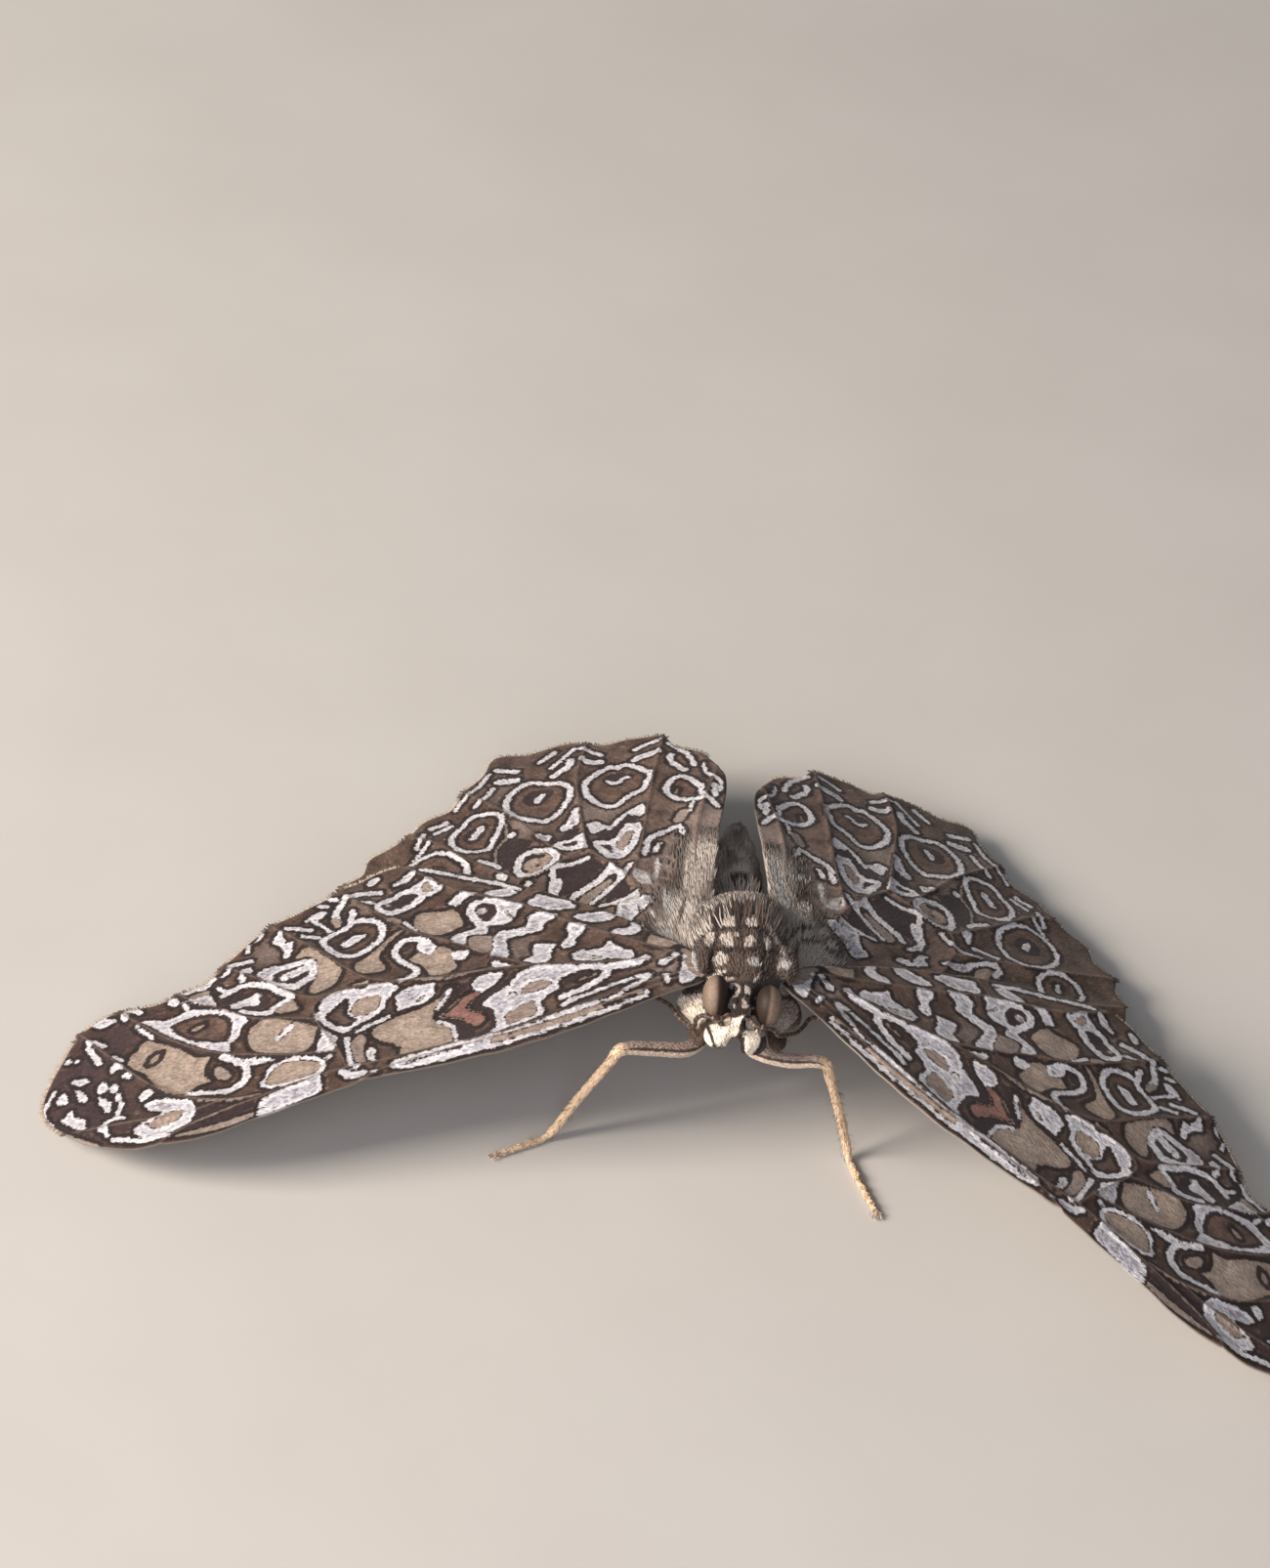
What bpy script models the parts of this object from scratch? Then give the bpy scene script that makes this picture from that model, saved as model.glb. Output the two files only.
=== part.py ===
"""A variable cracker butterfly at rest, life size: head down on a flat floor, wings spread flat.

The head points to -Y and the wings spread along X, so the animal's own left is at +X. The floor is
z = 0. The named sizes are in millimetres and degrees, with x = 0 on the midline and y = 0 at the
roots of the forewings. At the end the whole model moves so that its box is centred on the origin.
"""

import math

import bmesh
import bpy
from mathutils import Matrix, Vector, kdtree
from mathutils.geometry import delaunay_2d_cdt

MM = 0.001
GAP = 0.3  # left between pieces that touch on the real animal
CENTRE = (-1.703, 3.871)  # middle of the model's box, which ends at the origin

# Wings. A plan is the wing laid flat: x runs from the root towards the tip, y towards the leading
# edge. Sweep turns it forwards, droop lowers the tip, pitch raises the rear, and camber bends it down.
FOREWING_ROOT = (2.6, 0.0, 10.05)
HINDWING_ROOT = (2.0, 2.7, 8.95)
FOREWING_CAMBER = 0.0028
HINDWING_CAMBER = 0.0018
WING_THICKNESS = 0.5
WING_POSE = {  # side: (forewing sweep, droop, pitch), (hindwing sweep, droop, pitch)
    "right": ((13.2, 8.0, -1.5), (-46.5, 12.0, -4.0)),
    "left": ((31.2, 10.0, -2.5), (-44.6, 12.5, -7.0)),
}
SIDES = {"right": -1, "left": 1}

FOREWING_OUTLINE = (
    (-0.5, -0.3), (2.5, 0.5), (5.0, 1.2), (10.0, 2.2), (15.0, 2.4), (20.0, 2.2), (25.0, 2.6),
    (29.0, 3.0), (32.0, 2.7), (34.5, 1.8), (36.6, 0.2), (37.9, -2.0), (38.0, -3.8), (37.0, -5.9),
    (35.6, -8.0), (34.0, -9.3), (32.2, -9.4), (30.4, -9.2), (28.6, -9.5), (26.8, -10.3),
    (25.4, -11.7), (23.9, -12.9), (22.0, -13.8), (19.6, -14.7), (17.4, -15.6), (15.2, -16.2),
    (13.4, -15.7), (11.0, -14.2), (8.3, -12.1), (5.0, -9.1), (2.5, -6.4), (0.8, -4.2), (-0.5, -2.4),
)  # fmt: skip
FOREWING_VEINS = (
    ((0.8, -0.6), (8.0, 1.0), (14.0, 1.45), (18.4, 1.7), (20.3, 2.2)),  # subcosta
    ((0.8, -1.0), (4.5, -0.3), (9.0, 0.65), (13.0, 1.15), (19.0, 1.1), (21.5, 0.95), (26.0, 1.4),
     (30.0, 1.95), (32.0, 2.6)),  # radius
    ((25.9, 1.3), (28.0, 0.8), (30.2, -0.4), (32.0, -2.4), (33.6, -5.2), (35.2, -8.4)),
    ((28.0, 0.8), (30.5, 0.9), (34.0, 0.2), (36.8, -0.3)),
    ((20.9, 0.95), (21.1, -0.6), (21.9, -3.8), (21.5, -5.3), (19.0, -5.7)),  # end of the cell
    ((21.1, -0.6), (23.5, -1.25), (25.2, -1.95), (27.1, -2.8), (28.9, -4.1), (30.5, -5.9), (32.7, -9.2)),
    ((21.9, -3.8), (23.6, -4.6), (25.2, -5.2), (26.7, -6.6), (28.1, -8.0), (29.3, -9.4)),
    ((19.0, -5.7), (21.6, -5.7), (22.9, -6.7), (24.2, -8.4), (26.2, -10.6)),
    ((16.6, -5.2), (18.4, -6.2), (19.5, -7.7), (20.4, -9.4), (21.5, -11.0), (23.0, -13.3)),
    ((9.3, -4.2), (11.0, -5.6), (12.8, -7.4), (14.2, -8.6), (15.5, -9.9), (16.7, -11.8), (18.5, -14.9)),
    ((0.8, -2.2), (3.4, -2.75), (6.5, -3.4), (9.3, -4.1), (13.0, -4.6), (16.6, -5.2), (19.0, -5.7)),  # cubitus
    ((0.8, -2.8), (4.0, -5.4), (6.4, -7.6), (8.6, -9.9), (10.8, -11.6), (12.4, -13.0), (14.3, -15.8)),
)  # fmt: skip
HINDWING_OUTLINE = (
    (0.0, 0.8), (2.0, 3.2), (5.0, 6.2), (9.0, 9.2), (13.0, 11.3), (17.0, 12.4), (20.0, 12.0),
    (21.9, 10.7), (22.7, 9.2), (23.7, 8.3), (23.7, 6.6), (24.7, 5.0), (24.3, 2.4), (24.9, 0.6),
    (24.5, -1.4), (25.4, -3.4), (25.8, -5.2), (26.8, -7.0), (25.3, -8.7), (24.4, -10.7),
    (22.4, -11.9), (21.4, -13.6), (20.0, -15.0), (18.2, -14.8), (16.4, -15.3), (14.4, -14.7),
    (12.7, -13.8), (9.0, -9.6), (5.0, -5.2), (2.5, -2.7), (0.6, -1.0),
)  # fmt: skip
HINDWING_VEINS = (
    ((0.9, 1.2), (6.5, 6.4), (13.0, 10.2), (20.0, 12.0)),
    ((0.9, 0.5), (6.0, 2.8), (10.0, 4.2), (13.5, 3.0)),
    ((10.0, 4.2), (16.0, 8.2), (21.9, 10.7)),
    ((13.5, 3.0), (18.5, 5.9), (23.7, 8.3)),
    ((13.5, 3.0), (14.9, 1.4), (14.5, 0.0), (14.4, -1.6), (14.2, -3.3)),  # end of the cell
    ((14.9, 1.4), (19.0, 1.8), (22.5, 1.8), (24.4, 2.4)),
    ((14.4, -1.9), (17.5, -2.4), (21.0, -3.0), (25.0, -3.0)),
    ((14.2, -3.3), (15.8, -4.6), (18.8, -6.9), (20.8, -8.6), (23.0, -11.4)),
    ((9.6, -2.9), (10.5, -4.1), (12.0, -6.0), (13.6, -7.8), (15.2, -9.6), (16.8, -11.4), (19.6, -14.8)),
    ((0.9, -0.3), (5.5, -1.2), (8.5, -2.5), (11.5, -3.2), (14.2, -3.3)),  # cubitus, below the cell
    ((2.0, -1.6), (7.0, -5.8), (11.0, -9.8), (14.4, -14.7)),
)
RIM_STEP = 1.0  # length of one facet along the edge of a wing
VEIN_STEP = 1.3
VEIN_FLANK = 0.5  # half the width of a vein's ridge
VEIN_RISE = 0.16
VEIN_UNDER = 0.05
MEMBRANE_STEP = 2.3

# Body, in sections across Y: place, half width, top and bottom.
HEAD_SECTIONS = (
    (-0.9, 1.3, 11.4, 8.9), (-1.6, 1.6, 11.85, 8.6), (-2.5, 1.6, 11.8, 8.6),
    (-3.2, 1.4, 11.25, 8.85), (-3.7, 1.0, 10.75, 9.3), (-3.95, 0.55, 10.35, 9.7),
)  # fmt: skip
THORAX_SECTIONS = (
    (-0.6, 1.7, 11.3, 7.6), (0.4, 2.45, 11.8, 6.6), (1.8, 2.9, 12.1, 6.0), (3.6, 3.05, 12.1, 5.8),
    (5.4, 2.9, 11.7, 5.7), (7.2, 2.45, 10.6, 5.6), (8.4, 1.95, 9.3, 5.4), (9.2, 1.6, 8.3, 5.3),
)  # fmt: skip
ABDOMEN_SECTIONS = (
    (9.5, 1.5, 7.5, 4.7), (10.6, 1.7, 7.25, 4.05), (12.6, 1.85, 6.9, 3.5), (14.8, 1.8, 6.4, 3.1),
    (17.0, 1.55, 5.85, 3.0), (19.0, 1.15, 5.3, 3.15), (20.3, 0.7, 4.9, 3.5), (20.9, 0.35, 4.6, 3.8),
)  # fmt: skip
ABDOMEN_BEND = 0.4  # how far its end lies to the left
ABDOMEN_RINGS = 7
RING_GROOVE = 0.09
SECTION_CORNERS = 22
BODY_STEP = 0.55
TEGULA = ((2.5, 1.3, 11.0), (0.75, 1.5, 0.7))  # centre and half sizes of the flap over the wing root
SHOULDER = ((2.45, 0.3, 7.85), (1.35, 1.65, 1.15))  # the furry side below the forewing

NECK = (0.0, -0.9)
HEAD_TURN = 9.0  # degrees, towards the right
EYE_CENTRE = (1.54, -2.2, 11.0)
EYE_RADII = (0.78, 1.15, 1.2)
PALP_ROOT = (1.3, -2.75, 8.8)
PALP_TIP = (0.6, -4.45, 9.35)
PALP_RADII = (0.75, 0.9, 0.68, 0.36)

# Antennae leave the front of the head below the eyes, and lie back under the forewing's leading edge.
# The first points turn with the head.
ANTENNA_START = (
    (0.6, -2.9, 10.4), (0.95, -3.6, 10.6), (1.45, -3.75, 10.65), (2.05, -3.45, 10.4),
    (2.4, -3.1, 9.7), (2.75, -2.65, 9.1), (3.25, -1.95, 8.65), (3.7, -1.2, 8.5), (4.1, -0.5, 8.55),
)  # fmt: skip
ANTENNA_TURNED = 5
ANTENNA_UNDER_WING = ((3.6, -1.4), (7.5, -0.4), (11.5, 0.2), (14.5, 0.4))  # on the forewing's plan
ANTENNA_DROP = 1.05
ANTENNA_RADIUS = 0.18
CLUB_LENGTH = 3.5
CLUB_RADIUS = 0.42

# Legs: points from the body to the claws, each with its radius. The feet lie on the floor.
TARSUS_HEIGHT = 0.2
TARSUS_RADIUS = 0.25
MIDLEG = {
    "right": (
        ((-1.3, 2.0, 7.0), 0.5), ((-1.8, -0.1, 6.4), 0.48), ((-2.8, -1.8, 6.5), 0.44),
        ((-4.8, -2.6, 7.0), 0.42), ((-6.7, -3.3, 7.4), 0.38), ((-7.4, -3.4, 6.2), 0.3),
        ((-9.0, -3.4, 2.9), 0.28), ((-9.9, -3.5, 0.9), 0.27),
        ((-10.7, -3.95, TARSUS_HEIGHT), TARSUS_RADIUS),
        ((-12.0, -4.75, TARSUS_HEIGHT), TARSUS_RADIUS), ((-13.1, -5.4, TARSUS_HEIGHT), 0.22),
    ),
    "left": (
        ((1.3, 2.0, 7.0), 0.5), ((0.95, 0.2, 6.3), 0.48), ((1.1, -1.2, 6.3), 0.44),
        ((2.9, -2.1, 6.55), 0.42), ((4.9, -2.75, 7.25), 0.38), ((5.5, -2.8, 6.2), 0.3),
        ((6.6, -2.7, 2.9), 0.28), ((7.2, -2.8, 0.9), 0.27),
        ((7.5, -3.6, TARSUS_HEIGHT), TARSUS_RADIUS),
        ((8.1, -5.4, TARSUS_HEIGHT), TARSUS_RADIUS), ((8.9, -7.4, TARSUS_HEIGHT), 0.22),
    ),
}
HINDLEG = (
    ((1.2, 5.2, 6.6), 0.5), ((2.6, 6.2, 5.3), 0.46), ((4.2, 7.6, 5.4), 0.44),
    ((5.6, 8.8, 5.4), 0.38), ((6.2, 9.5, 4.5), 0.3), ((7.6, 11.0, 2.4), 0.28),
    ((8.7, 12.2, 0.9), 0.27), ((9.3, 13.0, TARSUS_HEIGHT), TARSUS_RADIUS),
    ((10.3, 14.6, TARSUS_HEIGHT), TARSUS_RADIUS), ((11.2, 16.2, TARSUS_HEIGHT), 0.22),
)  # fmt: skip
FORELEG = (
    ((1.8, 0.5, 7.6), 0.34), ((1.9, -0.6, 7.65), 0.34), ((2.0, -1.5, 7.7), 0.31),
    ((2.1, -1.95, 7.55), 0.27), ((2.45, -1.8, 7.4), 0.25), ((2.65, -1.2, 7.4), 0.22),
)  # fmt: skip
LEG_STEP = 0.45
TUBE_SIDES = 10

COLOURS = {
    "scales": (0.16, 0.12, 0.10),
    "hair": (0.30, 0.25, 0.21),
    "face": (0.55, 0.47, 0.36),
    "eye": (0.22, 0.15, 0.10),
    "cuticle": (0.50, 0.36, 0.24),
}


def clear_scene():
    for obj in list(bpy.data.objects):
        bpy.data.objects.remove(obj, do_unlink=True)


def add_collection(name):
    collection = bpy.data.collections.new(name)
    bpy.context.scene.collection.children.link(collection)
    return collection


def add_material(name, colour, roughness):
    material = bpy.data.materials.new(name)
    material.use_nodes = True
    shader = material.node_tree.nodes["Principled BSDF"]
    shader.inputs["Base Color"].default_value = (*colour, 1.0)
    shader.inputs["Roughness"].default_value = roughness
    shader.inputs["Metallic"].default_value = 0.0
    return material


def add_object(name, mesh, collection):
    obj = bpy.data.objects.new(name, mesh)
    collection.objects.link(obj)
    return obj


def evaluated_mesh(obj):
    """The object's mesh with its modifiers applied."""
    bpy.context.view_layer.update()
    graph = bpy.context.evaluated_depsgraph_get()
    return bpy.data.meshes.new_from_object(obj.evaluated_get(graph))


def apply_modifiers(obj):
    old = obj.data
    obj.data = evaluated_mesh(obj)
    obj.modifiers.clear()
    bpy.data.meshes.remove(old)


def keep_largest(obj):
    """Leaves only the closed surface that has the most faces."""
    bm = bmesh.new()
    bm.from_mesh(obj.data)
    left = set(bm.faces)
    pieces = []
    while left:
        piece = {left.pop()}
        front = list(piece)
        while front:
            face = front.pop()
            near = {other for edge in face.edges for other in edge.link_faces} & left
            left -= near
            piece |= near
            front.extend(near)
        pieces.append(piece)
    pieces.sort(key=len)
    for piece in pieces[:-1]:
        bmesh.ops.delete(bm, geom=list(piece), context="FACES")
    bm.to_mesh(obj.data)
    bm.free()


def cut(obj, *cutters):
    for cutter in cutters:
        modifier = obj.modifiers.new("clearance", "BOOLEAN")
        modifier.operation = "DIFFERENCE"
        modifier.solver = "EXACT"
        modifier.object = cutter
    apply_modifiers(obj)
    keep_largest(obj)


def join_pieces(obj, pieces, collection):
    """Joins closed meshes to obj in one union, and removes them."""
    group = bpy.data.collections.new("union")
    collection.children.link(group)
    for piece in pieces:
        group.objects.link(piece)
    modifier = obj.modifiers.new("union", "BOOLEAN")
    modifier.operation = "UNION"
    modifier.solver = "EXACT"
    modifier.operand_type = "COLLECTION"
    modifier.collection = group
    apply_modifiers(obj)
    for piece in pieces:
        bpy.data.objects.remove(piece, do_unlink=True)
    bpy.data.collections.remove(group)
    keep_largest(obj)


def make_cutter(obj):
    obj.hide_render = True
    obj.display_type = "WIRE"


def smooth_path(points, step, closed=False):
    """Points about one step apart on a smooth curve through the given points."""
    points = [Vector(point) for point in points]
    count = len(points)
    spans = count if closed else count - 1
    path = []
    for i in range(spans):
        if closed:
            a, b, c, d = (points[(i + k) % count] for k in (-1, 0, 1, 2))
        else:
            b, c = points[i], points[i + 1]
            a = points[i - 1] if i else 2 * b - c
            d = points[i + 2] if i + 2 < count else 2 * c - b
        pieces = max(1, round((c - b).length / step))
        for k in range(pieces):
            t = k / pieces
            bend = (2 * a - 5 * b + 4 * c - d) * t * t + (3 * b - 3 * c + d - a) * t**3
            path.append(b + ((c - a) * t + bend) / 2)
    if not closed:
        path.append(points[-1])
    return path


def mirrored(points, side):
    return [(Vector((side * x, y, z)), radius) for (x, y, z), radius in points]


def wing_place(side, root, pose, camber):
    """Returns a function from a place on the wing's plan to its place on the posed wing, in mm."""
    sweep, droop, pitch = (math.radians(angle) for angle in pose)
    turn = (
        Matrix.Rotation(pitch, 3, "X")
        @ Matrix.Rotation(droop, 3, "Y")
        @ Matrix.Rotation(-sweep, 3, "Z")
    )

    def place(x, y, rise=0.0):
        point = turn @ Vector((x, -y, rise - camber * (x * x + y * y))) + Vector(root)
        return Vector((side * point.x, point.y, point.z))

    return place


def inside(point, outline):
    """Whether a point of the plan lies within a closed outline."""
    odd = False
    for a, b in zip(outline, outline[1:] + outline[:1]):
        if (a.y > point.y) != (b.y > point.y):
            odd ^= point.x < a.x + (b.x - a.x) * (point.y - a.y) / (b.y - a.y)
    return odd


class PlanPoints:
    """Points of a wing's plan that keep their distance from each other."""

    def __init__(self, points):
        self.points = list(points)

    def nearest(self, point):
        tree = kdtree.KDTree(len(self.points))
        for i, other in enumerate(self.points):
            tree.insert((other.x, other.y, 0.0), i)
        tree.balance()
        _, index, distance = tree.find((point.x, point.y, 0.0))
        return index, distance

    def add(self, point, reach):
        """Adds the point, or returns the one that is already within reach of it."""
        index, distance = self.nearest(point)
        if distance < reach:
            return index
        self.points.append(point)
        return len(self.points) - 1


def wing_plan(outline, veins):
    """The flat wing as points and triangles, with the indices of the points on its veins."""
    rim = smooth_path([(x, y) for x, y in outline], RIM_STEP, closed=True)
    if sum(a.cross(b) for a, b in zip(rim, rim[1:] + rim[:1])) < 0:
        rim.reverse()
    plan = PlanPoints(rim)
    edges = []
    ridge = set()
    flanks = []
    for vein in veins:
        path = smooth_path(vein, VEIN_STEP)
        line = [plan.add(point, 0.6 * VEIN_STEP) for point in path if inside(point, rim)]
        edges += [(a, b) for a, b in zip(line, line[1:]) if a != b]
        ridge |= set(line)
        for a, b in zip(path, path[1:]):
            across = (b - a).normalized().orthogonal() * VEIN_FLANK
            flanks += [(a + b) / 2 + across, (a + b) / 2 - across]
    for point in flanks:
        if inside(point, rim):
            plan.add(point, 0.9 * VEIN_FLANK)
    row = MEMBRANE_STEP * math.sqrt(3) / 2
    for j in range(-8, 8):
        for i in range(18):
            point = Vector(((i + 0.5 * (j % 2)) * MEMBRANE_STEP, j * row))
            if inside(point, rim):
                plan.add(point, 0.55 * MEMBRANE_STEP)
    points, _, faces, origins, _, _ = delaunay_2d_cdt(
        plan.points, edges, [list(range(len(rim)))], 1, 1e-5
    )
    on_rim = set(range(len(rim)))
    raised = {
        i for i, source in enumerate(origins) if set(source) & ridge and not set(source) & on_rim
    }
    return points, faces, raised


def add_wing(name, outline, veins, place, collection, material):
    points, faces, raised = wing_plan(outline, veins)
    mesh = bpy.data.meshes.new(name)
    mesh.from_pydata([place(p.x, p.y) * MM for p in points], [], faces)
    obj = add_object(name, mesh, collection)
    solidify = obj.modifiers.new("thickness", "SOLIDIFY")
    solidify.thickness = WING_THICKNESS * MM
    solidify.offset = 0.0
    apply_modifiers(obj)
    count = len(points)
    for i in raised:
        pair = (obj.data.vertices[i], obj.data.vertices[i + count])
        under, top = sorted(pair, key=lambda vertex: vertex.co.z)
        out = (top.co - under.co).normalized()
        top.co += out * VEIN_RISE * MM
        under.co -= out * VEIN_UNDER * MM
    face_outwards(obj)
    obj.data.materials.append(material)
    return obj


def face_outwards(obj):
    bm = bmesh.new()
    bm.from_mesh(obj.data)
    bmesh.ops.recalc_face_normals(bm, faces=bm.faces)
    bm.to_mesh(obj.data)
    bm.free()


def section(y, half_width, top, bottom, grow):
    """One ring of the body: a rounded section, a little square at the shoulders."""
    middle = (top + bottom) / 2
    half_height = (top - bottom) / 2 + grow
    ring = []
    for k in range(SECTION_CORNERS):
        angle = 2 * math.pi * k / SECTION_CORNERS
        c, s = math.cos(angle), math.sin(angle)
        x = math.copysign(abs(c) ** 0.9, c) * (half_width + grow)
        z = middle + math.copysign(abs(s) ** 0.9, s) * half_height
        ring.append(Vector((x, y, z)))
    return ring


def add_loft(name, sections, collection, grow=0.0, groove=None, bend=0.0):
    """A closed loft through the sections, flat at both ends, or larger by grow all round."""
    rows = smooth_path([Vector(row) for row in sections], BODY_STEP)
    first, last = rows[0].x, rows[-1].x
    outward = math.copysign(grow, last - first)
    bm = bmesh.new()
    loops = []
    for i, (y, half_width, top, bottom) in enumerate(rows):
        waist = groove(y) if groove else 0.0
        if i == 0:
            y -= outward
        if i == len(rows) - 1:
            y += outward
        ring = section(y, half_width - waist, top - waist, bottom + waist, grow)
        aside = bend * ((y - first) / (last - first)) ** 2
        loops.append([bm.verts.new((point + Vector((aside, 0.0, 0.0))) * MM) for point in ring])
    for low, high in zip(loops, loops[1:]):
        for k in range(SECTION_CORNERS):
            n = (k + 1) % SECTION_CORNERS
            bm.faces.new((low[k], low[n], high[n], high[k]))
    bm.faces.new(loops[0])
    bm.faces.new(loops[-1])
    bmesh.ops.recalc_face_normals(bm, faces=bm.faces)
    mesh = bpy.data.meshes.new(name)
    bm.to_mesh(mesh)
    bm.free()
    return add_object(name, mesh, collection)


def add_ellipsoid(name, centre, radii, collection, grow=0.0, detail=(16, 10)):
    bm = bmesh.new()
    bmesh.ops.create_uvsphere(bm, u_segments=detail[0], v_segments=detail[1], radius=1.0)
    for vertex in bm.verts:
        spread = [(radius + grow) * value for radius, value in zip(radii, vertex.co)]
        vertex.co = (Vector(centre) + Vector(spread)) * MM
    mesh = bpy.data.meshes.new(name)
    bm.to_mesh(mesh)
    bm.free()
    return add_object(name, mesh, collection)


def add_tube(name, points, step, collection, grow=0.0):
    """A round tube through points that each have a radius, made from a curve with filled caps."""
    path = smooth_path([Vector((*point, radius)) for point, radius in points], step)
    curve = bpy.data.curves.new(name, "CURVE")
    curve.dimensions = "3D"
    curve.bevel_depth = MM
    curve.bevel_resolution = 3
    curve.use_fill_caps = True
    spline = curve.splines.new("POLY")
    spline.points.add(len(path) - 1)
    for target, point in zip(spline.points, path):
        target.co = (*(point.xyz * MM), 1.0)
        target.radius = point.w + grow
    guide = add_object(name + "_line", curve, collection)
    mesh = evaluated_mesh(guide)
    bpy.data.objects.remove(guide, do_unlink=True)
    bm = bmesh.new()
    bm.from_mesh(mesh)
    bmesh.ops.remove_doubles(bm, verts=bm.verts, dist=1e-6)
    bmesh.ops.recalc_face_normals(bm, faces=bm.faces)
    bm.to_mesh(mesh)
    bm.free()
    mesh.name = name
    return add_object(name, mesh, collection)


def add_box(name, low, high, collection):
    bm = bmesh.new()
    bmesh.ops.create_cube(bm, size=1.0)
    for vertex in bm.verts:
        vertex.co = Vector([(a + b) / 2 + v * (b - a) for a, b, v in zip(low, high, vertex.co)]) * MM
    mesh = bpy.data.meshes.new(name)
    bm.to_mesh(mesh)
    bm.free()
    return add_object(name, mesh, collection)


def ring_groove(y):
    """Depth of the shallow grooves between the abdomen's rings, at a place along it."""
    first, last = ABDOMEN_SECTIONS[0][0], ABDOMEN_SECTIONS[-1][0]
    phase = ABDOMEN_RINGS * (y - first) / (last - first)
    return RING_GROOVE * abs(math.cos(math.pi * phase)) ** 6


def turned_head(side, x, y, z):
    """A place on the head of one side, after the head has turned about the neck."""
    point = Vector((side * x - NECK[0], y - NECK[1]))
    point.rotate(Matrix.Rotation(math.radians(-HEAD_TURN), 2))
    return Vector((point.x + NECK[0], point.y + NECK[1], z))


def antenna_points(side, place):
    start = [turned_head(side, *point) for point in ANTENNA_START[:ANTENNA_TURNED]]
    start += [Vector((side * x, y, z)) for x, y, z in ANTENNA_START[ANTENNA_TURNED:]]
    under = [place(x, y, -ANTENNA_DROP) for x, y in ANTENNA_UNDER_WING]
    path = smooth_path(start + under, 0.8)
    total = sum((b - a).length for a, b in zip(path, path[1:]))
    points = []
    run = 0.0
    for before, point in zip([path[0], *path], path):
        run += (point - before).length
        club = min(1.0, max(0.0, (run - total + CLUB_LENGTH) / (0.7 * CLUB_LENGTH)))
        radius = ANTENNA_RADIUS + (CLUB_RADIUS - ANTENNA_RADIUS) * club * club * (3 - 2 * club)
        points.append((point, radius))
    tip = points[-1][0]
    along = (tip - points[-2][0]).normalized()
    points.append((tip + 0.3 * along, 0.6 * CLUB_RADIUS))
    return points


def palp_points(side):
    root = turned_head(side, *PALP_ROOT)
    tip = turned_head(side, *PALP_TIP)
    last = len(PALP_RADII) - 1
    return [(root.lerp(tip, i / last), radius) for i, radius in enumerate(PALP_RADII)]


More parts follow.
